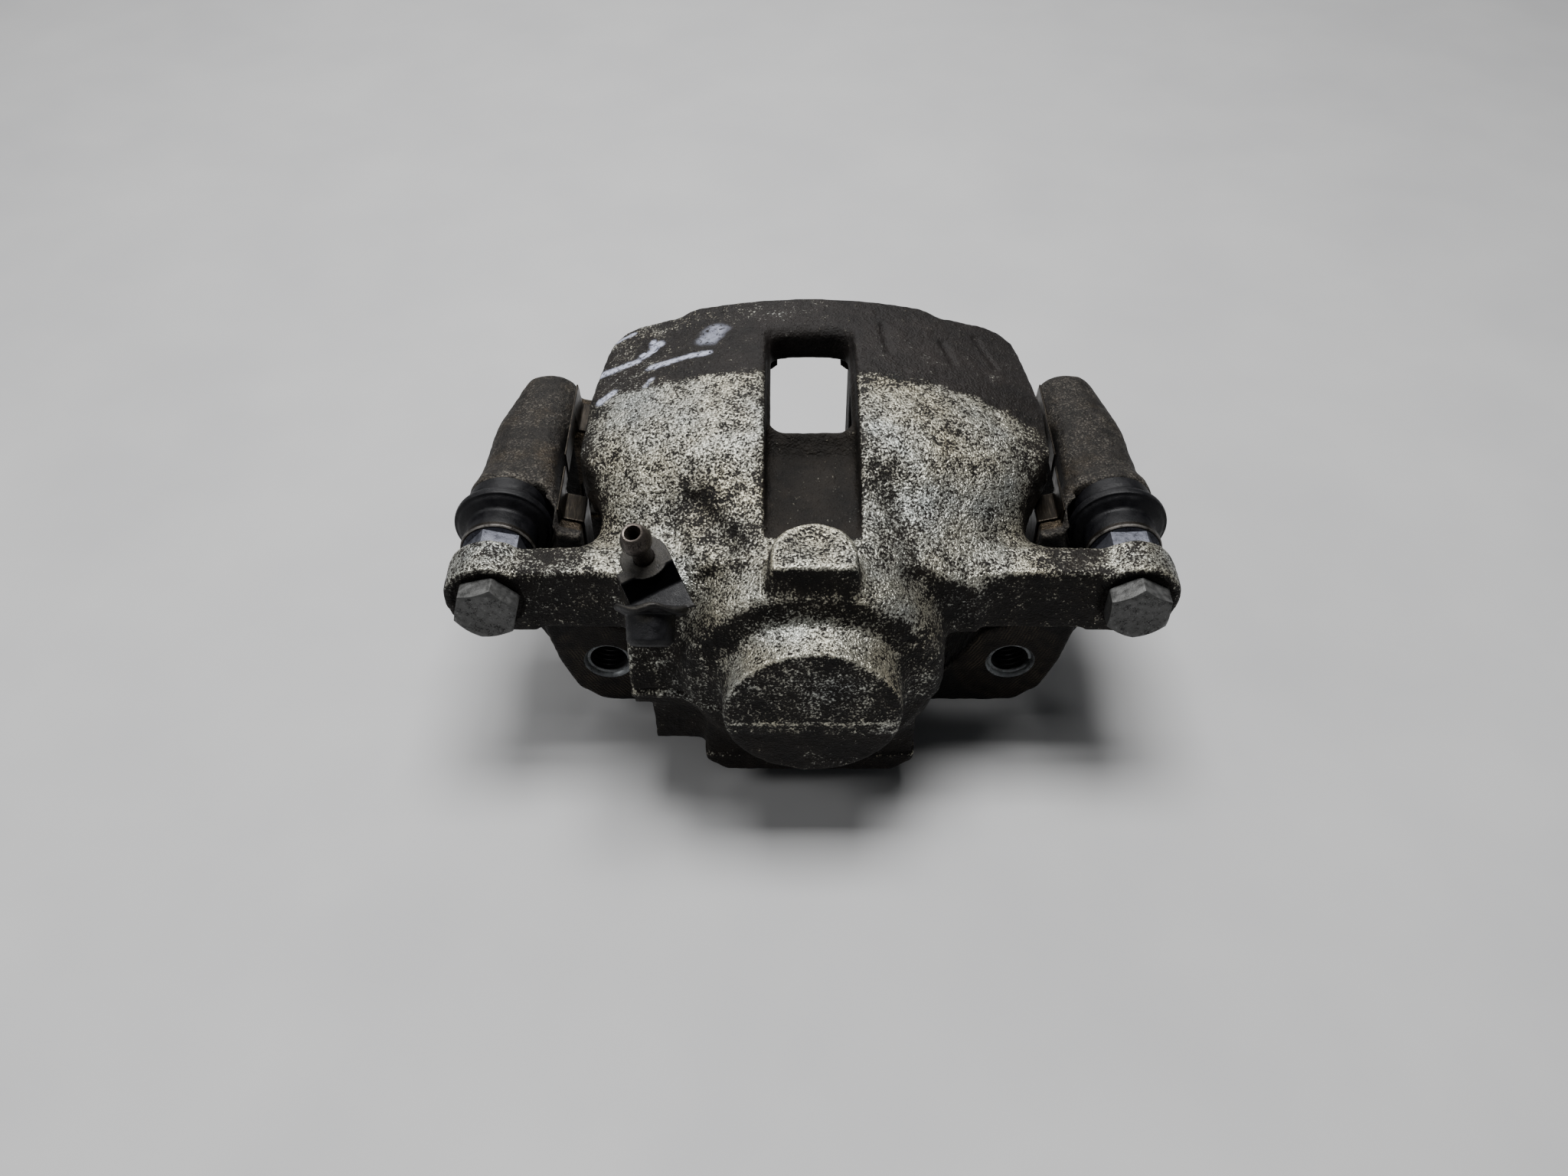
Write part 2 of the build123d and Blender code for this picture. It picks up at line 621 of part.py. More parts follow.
# Rubber bleed cap: a ring round the screw's neck, a broad strap, and the hollow cap that hangs from it.
CAP_TOP = Vector(-39.0, -26.4, 49.7)
CAP_AXIS = Vector(0, -0.78, -0.63).normalized()
BOSS_KEEP_OUT_R = 7.8
HEX_KEEP_OUT_R = 6.0
RING_BOTTOM = 0.3
STRAP_ACROSS = (-7.8, 6.0)
with BuildPart() as bleed_cap:
    bleed_turn([(0, RING_BOTTOM), (6.0, RING_BOTTOM), (6.0, 3.7), (0, 3.7)])
    strap_plane = Plane(
        origin=BLEED_SEAT + bleed_plane.x_dir * STRAP_ACROSS[0],
        x_dir=bleed_plane.y_dir,
        z_dir=bleed_plane.x_dir,
    )
    with BuildSketch(strap_plane) as strap:
        with BuildLine():
            Polyline(
                (-1.0, RING_BOTTOM),
                (-1.0, 3.7),
                (-4.0, 3.9),
                (-7.9, -0.8),
                (-15.5, -1.8),
                (-15.5, -3.5),
                (-6.1, -3.0),
                (-4.5, RING_BOTTOM),
                close=True,
            )
        make_face()
    extrude(strap.sketch, amount=STRAP_ACROSS[1] - STRAP_ACROSS[0])
    # The strap ends in the back of the cap's lip.
    cap_plane = Plane(origin=CAP_TOP, x_dir=bleed_plane.x_dir, z_dir=-CAP_AXIS)
    with BuildSketch(cap_plane) as beyond:
        Rectangle(40, 40)
    extrude(beyond.sketch, amount=-20, mode=Mode.SUBTRACT)
    cap_outline = [
        (0, -7.0), (3.3, -6.6), (3.5, 0.6), (8.2, 0.8), (8.9, 0.2), (8.6, -0.7), (6.1, -1.3), (5.7, -7.6),
        (4.6, -8.8), (0, -8.8),
    ]
    side_plane = Plane(origin=CAP_TOP, x_dir=cap_plane.x_dir, z_dir=-cap_plane.y_dir)
    with BuildSketch(side_plane) as cap_profile:
        with BuildLine():
            Polyline(*cap_outline, close=True)
        make_face()
    revolve(cap_profile.sketch, axis=Axis(CAP_TOP, cap_plane.z_dir))
    # Room for the casting's boss and the screw's hexagon, and the hole that grips the neck.
    bleed_turn(
        [
            (0, -30),
            (BOSS_KEEP_OUT_R, -30),
            (BOSS_KEEP_OUT_R, BLEED_FACE + 0.3),
            (HEX_KEEP_OUT_R, BLEED_FACE + 0.3),
            (HEX_KEEP_OUT_R, RING_BOTTOM),
            (0, RING_BOTTOM),
        ],
        Mode.SUBTRACT,
    )
    bleed_turn([(0, 0), (BLEED_NECK_R + 0.05, 0), (BLEED_NECK_R + 0.05, 5), (0, 5)], Mode.SUBTRACT)
bleed_cap.part.label = "bleed_cap"
export_step(bleed_cap.part, "parts/bleed_cap.step")
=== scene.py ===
import json
from math import cos, pi, radians, sin, sqrt

import bmesh
import bpy
import numpy as np
from mathutils import Matrix, Vector, noise


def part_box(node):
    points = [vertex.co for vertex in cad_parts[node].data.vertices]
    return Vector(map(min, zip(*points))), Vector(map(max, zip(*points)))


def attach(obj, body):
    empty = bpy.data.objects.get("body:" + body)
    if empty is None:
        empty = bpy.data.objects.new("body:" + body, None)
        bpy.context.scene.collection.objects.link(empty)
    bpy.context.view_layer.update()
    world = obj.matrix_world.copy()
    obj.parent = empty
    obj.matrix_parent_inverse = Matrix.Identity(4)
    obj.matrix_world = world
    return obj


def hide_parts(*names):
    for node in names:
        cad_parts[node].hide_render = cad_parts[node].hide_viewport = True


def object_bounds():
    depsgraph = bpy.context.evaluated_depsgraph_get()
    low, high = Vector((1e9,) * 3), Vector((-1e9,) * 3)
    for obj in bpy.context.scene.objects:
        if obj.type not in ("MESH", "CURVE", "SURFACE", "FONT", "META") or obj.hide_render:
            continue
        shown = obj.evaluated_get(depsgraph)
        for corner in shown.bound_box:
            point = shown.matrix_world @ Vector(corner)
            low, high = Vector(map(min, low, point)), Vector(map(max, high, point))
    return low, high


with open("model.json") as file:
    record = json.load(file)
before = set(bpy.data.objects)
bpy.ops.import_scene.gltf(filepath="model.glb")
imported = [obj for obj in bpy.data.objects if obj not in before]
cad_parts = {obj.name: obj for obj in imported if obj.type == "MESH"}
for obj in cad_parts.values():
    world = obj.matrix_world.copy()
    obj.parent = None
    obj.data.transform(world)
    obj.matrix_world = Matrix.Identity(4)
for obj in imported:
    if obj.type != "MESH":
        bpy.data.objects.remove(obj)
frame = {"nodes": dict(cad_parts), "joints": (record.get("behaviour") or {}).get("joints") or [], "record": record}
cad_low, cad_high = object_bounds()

MM = 0.001
ALONG_Y = Vector((0, 1, 0))
SIDES = {"left": -1, "right": 1}
ON_AXIS = 0.001  # radius of the ring that closes a turned piece on its axis

# Millimetres, as in the CAD.
BOLT_FLATS = 15.0
BOLT_HEAD_Y = -12.5  # the head's seat on the ear
PIN_FLATS = 16.0
PIN_R = 6.2
PISTON_R = 26.95
PISTON_FLOOR_Y = -11.6
SEAL_R = 29.9
BLEED_FLATS = 10.0
LINING_R = 6.9
THREAD_PITCH = 1.75
THREAD_START = 1.3
THREAD_DEPTH = 11.95
CAP_TOP = Vector((-39.0, -26.4, 49.7))
CAP_AXIS = Vector((0, -0.78, -0.63)).normalized()

VOXEL = 0.65
CAP_VOXEL = 0.22
CLIP_VOXEL = 0.2
ROUND_SCALE = (0.75 / VOXEL) ** 2  # smoothing rounds grow as the mesh gets finer


# ---------------------------------------------------------------- places, read from the frame

def middle(node):
    low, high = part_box(node)
    return (low + high) / 2


pin_x = middle("guide_pin_right").x / MM
pin_z = middle("pin_boot_right").z / MM
cylinder_z = middle("piston").z / MM
mounts = {mount["name"]: mount for mount in frame["record"]["mounts"]}
mount_x = mounts["carrier_bolts"]["dims"]["spacing_x_mm"] / 2
bleed_joint = next(j for j in frame["joints"] if j["name"] == "bleed_screw_turn")
bleed_seat = Vector(bleed_joint["pos_m"])
bleed_axis = Vector(bleed_joint["axis"]).normalized()


# ---------------------------------------------------------------- dense surfaces and their smoothing

class Surface:
    """A dense mesh held as arrays, in millimetres, with smoothing and displacement."""

    def __init__(self, mesh):
        self.mesh = mesh
        self.size = len(mesh.vertices)
        self.co = np.empty(self.size * 3)
        mesh.vertices.foreach_get("co", self.co)
        self.co = self.co.reshape(-1, 3) / MM
        self.edges = np.empty(len(mesh.edges) * 2, int)
        mesh.edges.foreach_get("vertices", self.edges)
        self.edges = self.edges.reshape(-1, 2)
        mesh.calc_loop_triangles()
        self.triangles = np.empty(len(mesh.loop_triangles) * 3, int)
        mesh.loop_triangles.foreach_get("vertices", self.triangles)
        self.triangles = self.triangles.reshape(-1, 3)
        self.degree = np.bincount(self.edges.ravel(), minlength=self.size)[:, None]

    def mean(self, values):
        """Mean of each vertex's neighbours."""
        a, b = self.edges.T
        total = np.empty_like(values)
        for k in range(values.shape[1]):
            total[:, k] = np.bincount(a, values[b, k], self.size)
            total[:, k] += np.bincount(b, values[a, k], self.size)
        return total / self.degree

    def blurred(self, values, rounds):
        for _ in range(rounds):
            values = (values + self.mean(values)) / 2
        return values

    def normals(self):
        corner = self.co[self.triangles]
        cross = np.cross(corner[:, 1] - corner[:, 0], corner[:, 2] - corner[:, 0])
        total = np.zeros((self.size, 3))
        for k in range(3):
            for i in range(3):
                total[:, k] += np.bincount(self.triangles[:, i], cross[:, k], self.size)
        return total / np.maximum(np.linalg.norm(total, axis=1, keepdims=True), 1e-12)

    def fillet(self, weight, rounds):
        """Fill concave corners, as a pattern maker's fillets do, by the weight of each vertex."""
        for i in range(rounds):
            if i % 6 == 0:
                normal = self.normals()
            rise = ((self.mean(self.co) - self.co) * normal).sum(1)
            self.co += (0.55 * weight * np.maximum(rise, 0))[:, None] * normal

    def soften(self, weight, rounds):
        """Round all edges by plain smoothing."""
        for _ in range(rounds):
            self.co += 0.5 * weight[:, None] * (self.mean(self.co) - self.co)

    def push(self, amount):
        """Move each vertex along its normal."""
        self.co += amount[:, None] * self.normals()

    def convexity(self, rounds):
        """How far each vertex stands proud of its blurred surroundings."""
        return ((self.co - self.blurred(self.co, rounds)) * self.normals()).sum(1)

    def write(self, low, high):
        """Back to the mesh, kept inside the box of the CAD node."""
        kept = np.clip(self.co * MM, low, high)
        self.mesh.vertices.foreach_set("co", kept.ravel())
        self.mesh.update()
        self.mesh.shade_smooth()

    def paint(self, name, values):
        layer = self.mesh.attributes.new(name, "FLOAT", "POINT")
        layer.data.foreach_set("value", np.clip(values, 0, 1).astype(np.float32))


def ramp(values, start, end):
    """0 before start, 1 after end, smooth between them."""
    t = np.clip((values - start) / (end - start), 0, 1)
    return t * t * (3 - 2 * t)


def grain(points, size, seed):
    """Smooth noise of about -1 to 1 at each point, with cells of the given size."""
    shift = Vector((seed * 17.3, seed * 5.1, seed * 9.7))
    return np.array([noise.noise(Vector(p) / size + shift) for p in points])


def round_about(co, x, z):
    """Distance of each point from the line along Y through (x, z)."""
    return np.hypot(co[:, 0] - x, co[:, 2] - z)


def dense_copy(node, voxel, name):
    """The CAD node's shape as an even quad mesh in a new object."""
    source = frame["nodes"][node]
    shell = bmesh.new()
    shell.from_mesh(source.data)
    bmesh.ops.remove_doubles(shell, verts=shell.verts, dist=1e-6)
    mesh = bpy.data.meshes.new(name)
    shell.to_mesh(mesh)
    shell.free()
    piece = bpy.data.objects.new(name, mesh)
    bpy.context.scene.collection.objects.link(piece)
    remesh = piece.modifiers.new("voxels", "REMESH")
    remesh.mode = "VOXEL"
    remesh.voxel_size = voxel * MM
    graph = bpy.context.evaluated_depsgraph_get()
    dense = bpy.data.meshes.new_from_object(piece.evaluated_get(graph))
    piece.modifiers.clear()
    piece.data = dense
    dense.name = name
    bpy.data.meshes.remove(mesh)
    return piece


# ---------------------------------------------------------------- turned and hexagonal pieces

def add_piece(name, verts, faces, material, body, nodes=()):
    """A new mesh piece in metres that rides on a body and takes a material."""
    mesh = bpy.data.meshes.new(name)
    mesh.from_pydata(verts, [], faces)
    mesh.validate()
    tidy = bmesh.new()
    tidy.from_mesh(mesh)
    bmesh.ops.remove_doubles(tidy, verts=tidy.verts, dist=2e-6)
    bmesh.ops.recalc_face_normals(tidy, faces=tidy.faces)
    tidy.to_mesh(mesh)
    tidy.free()
    mesh.shade_smooth()
    mesh.set_sharp_from_angle(angle=radians(40))
    piece = bpy.data.objects.new(name, mesh)
    bpy.context.scene.collection.objects.link(piece)
    return dress(piece, material, body, nodes)


def dress(piece, material, body, nodes=()):
    piece.data.materials.clear()
    piece.data.materials.append(material)
    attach(piece, body)
    if nodes:
        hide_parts(*nodes)
    return piece


def rounded(points, radius, closed=True, steps=3):
    """The outline with each corner turned into a short curve."""
    out = []
    count = len(points)
    for i, (px, py) in enumerate(points):
        if not closed and i in (0, count - 1):
            out.append((px, py))
            continue
        ax, ay = points[i - 1]
        bx, by = points[(i + 1) % count]
        reach_a = min(radius, sqrt((ax - px) ** 2 + (ay - py) ** 2) * 0.45)
        reach_b = min(radius, sqrt((bx - px) ** 2 + (by - py) ** 2) * 0.45)
        if px == 0 or reach_a == 0 or reach_b == 0:
            out.append((px, py))
            continue
        corner = Vector((px, py))
        start = corner + (Vector((ax, ay)) - corner).normalized() * reach_a
        end = corner + (Vector((bx, by)) - corner).normalized() * reach_b
        for k in range(steps + 1):
            t = k / steps
            p = start * (1 - t) ** 2 + corner * 2 * t * (1 - t) + end * t * t
            out.append((p.x, p.y))
    return out


def axes(origin, axis, first=None):
    """Matrix whose Z is the axis and whose X is as near the given direction as can be."""
    z = axis.normalized()
    x = first or Vector((1, 0, 0))
    x = (x - z * x.dot(z)).normalized()
    y = z.cross(x)
    return Matrix.Translation(origin) @ Matrix((x, y, z)).transposed().to_4x4()


def hex_radius(angle, across_flats):
    """Distance from the centre to a hexagon's side, with corners at 0, 60, ... degrees."""
    return across_flats / 2 / cos((angle % (pi / 3)) - pi / 6)


def ring_faces(rows, steps, closed):
    """Quads between each ring of vertices and the next, and back to the first one if closed."""
    faces = []
    for j in range(rows if closed else rows - 1):
        k = (j + 1) % rows
        for i in range(steps):
            n = (i + 1) % steps
            faces.append((j * steps + i, j * steps + n, k * steps + n, k * steps + i))
    return faces


def turned(name, rings, place, material, body, nodes=(), closed=False, steps=96, turn=0.0):
    """Piece made of rings of (radius, height) in millimetres about the place's Z axis.
    A ring with a third value is cut by a hexagon of that size, and its fourth value is the height
    that each millimetre beyond the hexagon's inscribed circle adds."""
    verts = []
    for ring in rings:
        radius, height = ring[0], ring[1]
        flats = ring[2] if len(ring) > 2 else None
        rise = ring[3] if len(ring) > 3 else 0
        for i in range(steps):
            angle = 2 * pi * i / steps
            r = min(radius, hex_radius(angle, flats)) if flats else radius
            h = height + (rise * max(r - flats / 2, 0) if flats else 0)
            at = angle + turn
            verts.append(place @ Vector((r * cos(at) * MM, r * sin(at) * MM, h * MM)))
    faces = ring_faces(len(rings), steps, closed)
    return add_piece(name, verts, faces, material, body, nodes)


# ---------------------------------------------------------------- materials

class Shader:
    """Builds one node material; its textures work in the piece's own millimetres."""

    def __init__(self, name):
        self.material = bpy.data.materials.new(name)
        self.material.use_nodes = True
        self.tree = self.material.node_tree
        self.surface = self.tree.nodes["Principled BSDF"]
        coords = self.tree.nodes.new("ShaderNodeTexCoord")
        scaled = self.tree.nodes.new("ShaderNodeVectorMath")
        scaled.operation = "SCALE"
        scaled.inputs["Scale"].default_value = 1 / MM
        self.tree.links.new(coords.outputs["Object"], scaled.inputs[0])
        self.place = scaled.outputs[0]

    def put(self, value, socket):
        if isinstance(value, bpy.types.NodeSocket):
            self.tree.links.new(value, socket)
        elif hasattr(value, "__len__") and len(value) == 3 and socket.type == "RGBA":
            socket.default_value = (*value, 1)
        else:
            socket.default_value = value

    def noise(self, size, detail=3.0, rough=0.55, place=None, stretch=None):
        """Noise of 0 to 1 with features of the given size in millimetres, its contrast evened out."""
        where = place or self.place
        if stretch:
            scale = self.tree.nodes.new("ShaderNodeVectorMath")
            scale.operation = "MULTIPLY"
            self.put(where, scale.inputs[0])
            scale.inputs[1].default_value = stretch
            where = scale.outputs[0]
        node = self.tree.nodes.new("ShaderNodeTexNoise")
        node.inputs["Scale"].default_value = 1 / size
        node.inputs["Detail"].default_value = detail
        node.inputs["Roughness"].default_value = rough
        self.put(where, node.inputs["Vector"])
        return self.span(node.outputs["Fac"], 0.3, 0.7)

    def span(self, value, start, end, low=0.0, high=1.0, smooth=False):
        node = self.tree.nodes.new("ShaderNodeMapRange")
        node.interpolation_type = "SMOOTHSTEP" if smooth else "LINEAR"
        sockets = ("Value", "From Min", "From Max", "To Min", "To Max")
        for socket, v in zip(sockets, (value, start, end, low, high)):
            self.put(v, node.inputs[socket])
        return node.outputs["Result"]

    def math(self, operation, a, b=0.0):
        node = self.tree.nodes.new("ShaderNodeMath")
        node.operation = operation
        self.put(a, node.inputs[0])
        self.put(b, node.inputs[1])
        return node.outputs[0]

    def total(self, *terms):
        """Sum of weight and value pairs, held between 0 and 1."""
        result = 0.0
        for weight, value in terms:
            part = self.math("MULTIPLY", value, weight) if value is not None else weight
            result = self.math("ADD", result, part)
        return self.span(result, 0, 1)

    def mix(self, factor, a, b):
        node = self.tree.nodes.new("ShaderNodeMix")
        node.data_type = "RGBA"
        self.put(factor, node.inputs["Factor"])
        sockets = {s.name: s for s in node.inputs if s.type == "RGBA"}
        self.put(a, sockets["A"])
        self.put(b, sockets["B"])
        return next(s for s in node.outputs if s.type == "RGBA")

    def painted(self, name):
        node = self.tree.nodes.new("ShaderNodeAttribute")
        node.attribute_name = name
        return node.outputs["Fac"]

    def pits(self, size, spread=0.5):
        """1 in round cells of the given size and 0 between them."""
        node = self.tree.nodes.new("ShaderNodeTexVoronoi")
        node.inputs["Scale"].default_value = 1 / size
        self.put(self.place, node.inputs["Vector"])
        return self.span(node.outputs["Distance"], spread, 0.0, smooth=True)

    def arcs(self, pitch, wobble):
        """Fine arcs round a line along Y near the part's middle, as a fly cutter leaves them."""
        node = self.tree.nodes.new("ShaderNodeTexWave")
        node.wave_type = "RINGS"
        node.rings_direction = "Y"
        node.inputs["Scale"].default_value = 0.314 / pitch
        node.inputs["Distortion"].default_value = wobble
        node.inputs["Detail"].default_value = 3.0
        shifted = self.tree.nodes.new("ShaderNodeVectorMath")
        shifted.operation = "ADD"
        self.put(self.place, shifted.inputs[0])
        shifted.inputs[1].default_value = (0, 0, -30)
        self.put(shifted.outputs[0], node.inputs["Vector"])
        return self.span(node.outputs["Fac"], 0.35, 0.8)

    def along(self, axis):
        """Position along an axis in millimetres."""
        split = self.tree.nodes.new("ShaderNodeSeparateXYZ")
        self.put(self.place, split.inputs[0])
        return split.outputs[axis]

    def from_pin(self):
        """Distance in millimetres from the nearer guide pin's axis."""
        fold = self.tree.nodes.new("ShaderNodeVectorMath")
        fold.operation = "ABSOLUTE"
        self.put(self.place, fold.inputs[0])
        flat = self.tree.nodes.new("ShaderNodeVectorMath")
        flat.operation = "MULTIPLY_ADD"
        self.put(fold.outputs[0], flat.inputs[0])
        flat.inputs[1].default_value = (1, 0, 1)
        flat.inputs[2].default_value = (-pin_x, 0, -pin_z)
        size = self.tree.nodes.new("ShaderNodeVectorMath")
        size.operation = "LENGTH"
        self.put(flat.outputs[0], size.inputs[0])
        return size.outputs["Value"]

    def facing(self, axis):
        """How far the surface at rest faces along an axis, -1 to 1."""
        node = self.tree.nodes.new("ShaderNodeNewGeometry")
        split = self.tree.nodes.new("ShaderNodeSeparateXYZ")
        self.put(node.outputs["Normal"], split.inputs[0])
        return split.outputs[axis]

    def finish(self, colour, metal, rough, heights=(), **extra):
        """heights are (value, depth in millimetres) pairs for the bump."""
        self.put(colour, self.surface.inputs["Base Color"])
        self.put(metal, self.surface.inputs["Metallic"])
        self.put(rough, self.surface.inputs["Roughness"])
        normal = None
        for value, depth in heights:
            bump = self.tree.nodes.new("ShaderNodeBump")
            bump.inputs["Strength"].default_value = 1.0
            bump.inputs["Distance"].default_value = depth * MM
            self.put(value, bump.inputs["Height"])
            if normal:
                self.put(normal, bump.inputs["Normal"])
            normal = bump.outputs["Normal"]
        if normal:
            self.put(normal, self.surface.inputs["Normal"])
        for name, value in extra.items():
            self.put(value, self.surface.inputs[name.replace("_", " ")])
        return self.material


def zinc_casting():
    """Sand-cast iron under worn yellow zinc: bright grains over dark dirt, brown-black above the disc, with a
    painted top light, painted highlights on edges and painted shade in creases and recesses.
    """
    s = Shader("zinc_casting")
    grit = s.noise(0.62, 2.0, 0.62)
    tone = s.noise(0.5, 1.0, 0.5)
    lump = s.noise(2.4, 3.0, 0.6)
    mottle = s.noise(6.0, 4.0)
    stain = s.noise(22.0, 3.0)
    up, wear_and_highlight, scorch = s.painted("up"), s.painted("wear_and_highlight"), s.painted("scorch")
    dull_and_shade, smudge, shade = s.painted("dull_and_shade"), s.painted("smudge"), s.painted("shade")
    grains = s.total((0.70, grit), (0.30, lump))
    # Share of bright grains: more where the casting faces up, a painted top light, and on worn edges with painted
    # highlights; fewer where scorched, on matt machined faces, and in painted shade in creases, the groove, the
    # bore and underneath.
    lively = s.total(
        (0.36, up), (0.34, wear_and_highlight), (-0.52, scorch), (-0.44, dull_and_shade), (-0.42, shade),
        (0.24, mottle), (0.18, stain), (-0.08, None),
    )
    edge = s.math("SUBTRACT", 1.0, lively)
    bright = s.span(grains, s.math("SUBTRACT", edge, 0.20), s.math("ADD", edge, 0.20), smooth=True)
    holes = s.math("MULTIPLY", s.pits(1.8, 0.30), s.span(s.noise(5.0, 2.0), 0.3, 0.6))
    bright = s.math("MULTIPLY", bright, s.math("SUBTRACT", 1.0, holes))
    grime = s.mix(mottle, (0.004, 0.0034, 0.0029), (0.014, 0.0112, 0.0088))
    burnt = s.mix(s.total((0.5, mottle), (0.5, stain)), (0.006, 0.0054, 0.0052), (0.017, 0.0138, 0.0125))
    dirt = s.mix(scorch, grime, burnt)
    pale = s.mix(stain, (0.80, 0.74, 0.55), (0.60, 0.63, 0.60))
    deep = s.mix(stain, (0.20, 0.175, 0.12), (0.15, 0.15, 0.14))
    colour = s.mix(bright, dirt, s.mix(tone, deep, pale))
    chalk = s.math("MULTIPLY", smudge, s.span(s.noise(1.1, 4.0, 0.65), 0.15, 0.5))
    colour = s.mix(chalk, colour, (0.40, 0.42, 0.52))
    shine = s.math("MULTIPLY", bright, s.math("SUBTRACT", 0.97, chalk))
    rough = s.total((0.58, None), (-0.24, bright), (-0.08, scorch), (0.1, dull_and_shade))
    gleam = s.span(bright, 0, 1, 0.14, 0.5)
    colour = s.mix(s.math("MULTIPLY", shade, 0.55), colour, (0.006, 0.005, 0.004))
    relief = [(mottle, 0.24), (lump, 0.28), (grit, 0.17)]
    return s.finish(colour, shine, rough, relief, Specular_IOR_Level=gleam)


def bare_iron():
    """Cast iron, dark and handled, with brown stains, milling arcs on its mounting faces and worn pad seats."""
    s = Shader("bare_iron")
    fine = s.noise(0.55, 3.0, 0.6)
    mottle = s.noise(2.6, 4.0)
    stain = s.noise(13.0, 3.0)
    up, wear_and_highlight = s.painted("up"), s.painted("wear_and_highlight")
    machined, milled = s.painted("machined"), s.painted("milled")
    patch = s.noise(5.5, 3.0, 0.6)
    dark = s.mix(mottle, (0.003, 0.0027, 0.0025), (0.010, 0.0085, 0.0075))
    brown = s.mix(fine, (0.006, 0.005, 0.0042), (0.044, 0.037, 0.030))
    gold = s.mix(fine, (0.014, 0.010, 0.006), (0.070, 0.050, 0.028))
    blotch = s.math("MULTIPLY", mottle, s.span(patch, 0.1, 0.8))
    rusty = s.total((0.75, s.math("MULTIPLY", up, blotch)), (0.16, up))
    colour = s.mix(rusty, dark, s.mix(s.span(stain, 0.55, 1.0), brown, gold))
    flecks = s.span(s.math("MULTIPLY", up, patch), 0.15, 0.7)
    flecks = s.math("MULTIPLY", s.span(fine, 0.62, 0.85), flecks)
    colour = s.mix(s.math("MULTIPLY", flecks, 0.55), colour, (0.13, 0.118, 0.098))
    # Lighter edges: worn iron with painted highlights.
    worn = s.math("MULTIPLY", wear_and_highlight, s.span(fine, 0.3, 0.8))
    colour = s.mix(worn, colour, (0.17, 0.155, 0.13))
    swirl = s.noise(0.5, 2.0, 0.5, stretch=(0.25, 1, 1))
    seat = s.mix(s.math("MULTIPLY", swirl, patch), (0.018, 0.014, 0.010), (0.13, 0.10, 0.065))
    colour = s.mix(machined, colour, seat)
    arcs = s.math("MULTIPLY", s.arcs(0.9, 3.5), s.span(s.math("MULTIPLY", patch, stain), 0.1, 0.6))
    face = s.mix(mottle, (0.006, 0.005, 0.0045), (0.016, 0.013, 0.011))
    colour = s.mix(milled, colour, s.mix(arcs, face, (0.065, 0.052, 0.036)))
    shine = s.total((0.25, None), (0.35, worn), (0.5, machined), (0.4, milled))
    rough = s.total((0.64, None), (-0.24, machined), (-0.22, milled))
    relief = s.math("MULTIPLY", mottle, s.math("SUBTRACT", 1.0, milled))
    scratch = s.math("MULTIPLY", arcs, milled)
    heights = [(relief, 0.3), (fine, 0.14), (scratch, 0.05)]
    return s.finish(colour, shine, rough, heights, Specular_IOR_Level=0.25)


def zinc_plate(name, pale, dark, rough=0.42, black_from=None, collar=False):
    """Dull zinc plate on a turned or forged piece, stained and lightly dented, lighter where it faces up, and
    darker beyond a given Y. A guide pin's collar is brown with a bright rim."""
    s = Shader(name)
    fine = s.noise(0.35, 3.0, 0.6)
    cloud = s.noise(2.2, 4.0, 0.6)
    scuff = s.noise(0.5, 2.0, 0.5, stretch=(1, 0.15, 0.6))
    spots = s.span(s.math("MULTIPLY", cloud, fine), 0.25, 0.6, smooth=True)
    colour = s.mix(spots, pale, dark)
    colour = s.mix(s.span(scuff, 0.75, 1.0), colour, [min(1, c * 1.5) for c in pale])
    # Lighter where the piece faces up.
    faces_up_lighter = s.math("MULTIPLY", s.span(s.facing("Z"), 0.3, 0.8, smooth=True), s.span(cloud, 0.1, 0.7))
    colour = s.mix(faces_up_lighter, colour, [min(1, c * 1.9) for c in pale])
    if black_from is not None:
        # Darker beyond black_from along Y.
        darker_beyond = s.span(s.along("Y"), black_from, black_from + 0.5)
        colour = s.mix(darker_beyond, colour, [c * 0.3 for c in dark])
    if collar:
        face = s.span(s.from_pin(), 9.2, 9.4)
        colour = s.mix(face, colour, s.mix(fine, (0.006, 0.005, 0.004), (0.022, 0.018, 0.014)))
        edge = s.math("MULTIPLY", s.span(s.from_pin(), 9.6, 9.8), s.span(s.along("Y"), 5.5, 5.1))
        edge = s.math("MULTIPLY", edge, s.span(cloud, 0.05, 0.6))
        colour = s.mix(edge, colour, (0.16, 0.15, 0.14))
    rough = s.span(cloud, 0, 1, rough, rough + 0.22)
    return s.finish(colour, 0.85, rough, [(cloud, 0.05), (fine, 0.03)])


def ground_steel(name, colour, rough, size=0.22):
    """Turned and ground steel with fine rings round its axis."""
    s = Shader(name)
    lines = s.noise(size, 2.0, 0.5, stretch=(0.08, 1.6, 0.08))
    film = s.noise(4.0, 4.0)
    tone = s.mix(s.math("MULTIPLY", film, lines), colour, [c * 0.55 for c in colour])
    return s.finish(tone, 0.95, s.span(film, 0, 1, rough, rough + 0.15), [(lines, 0.012)])


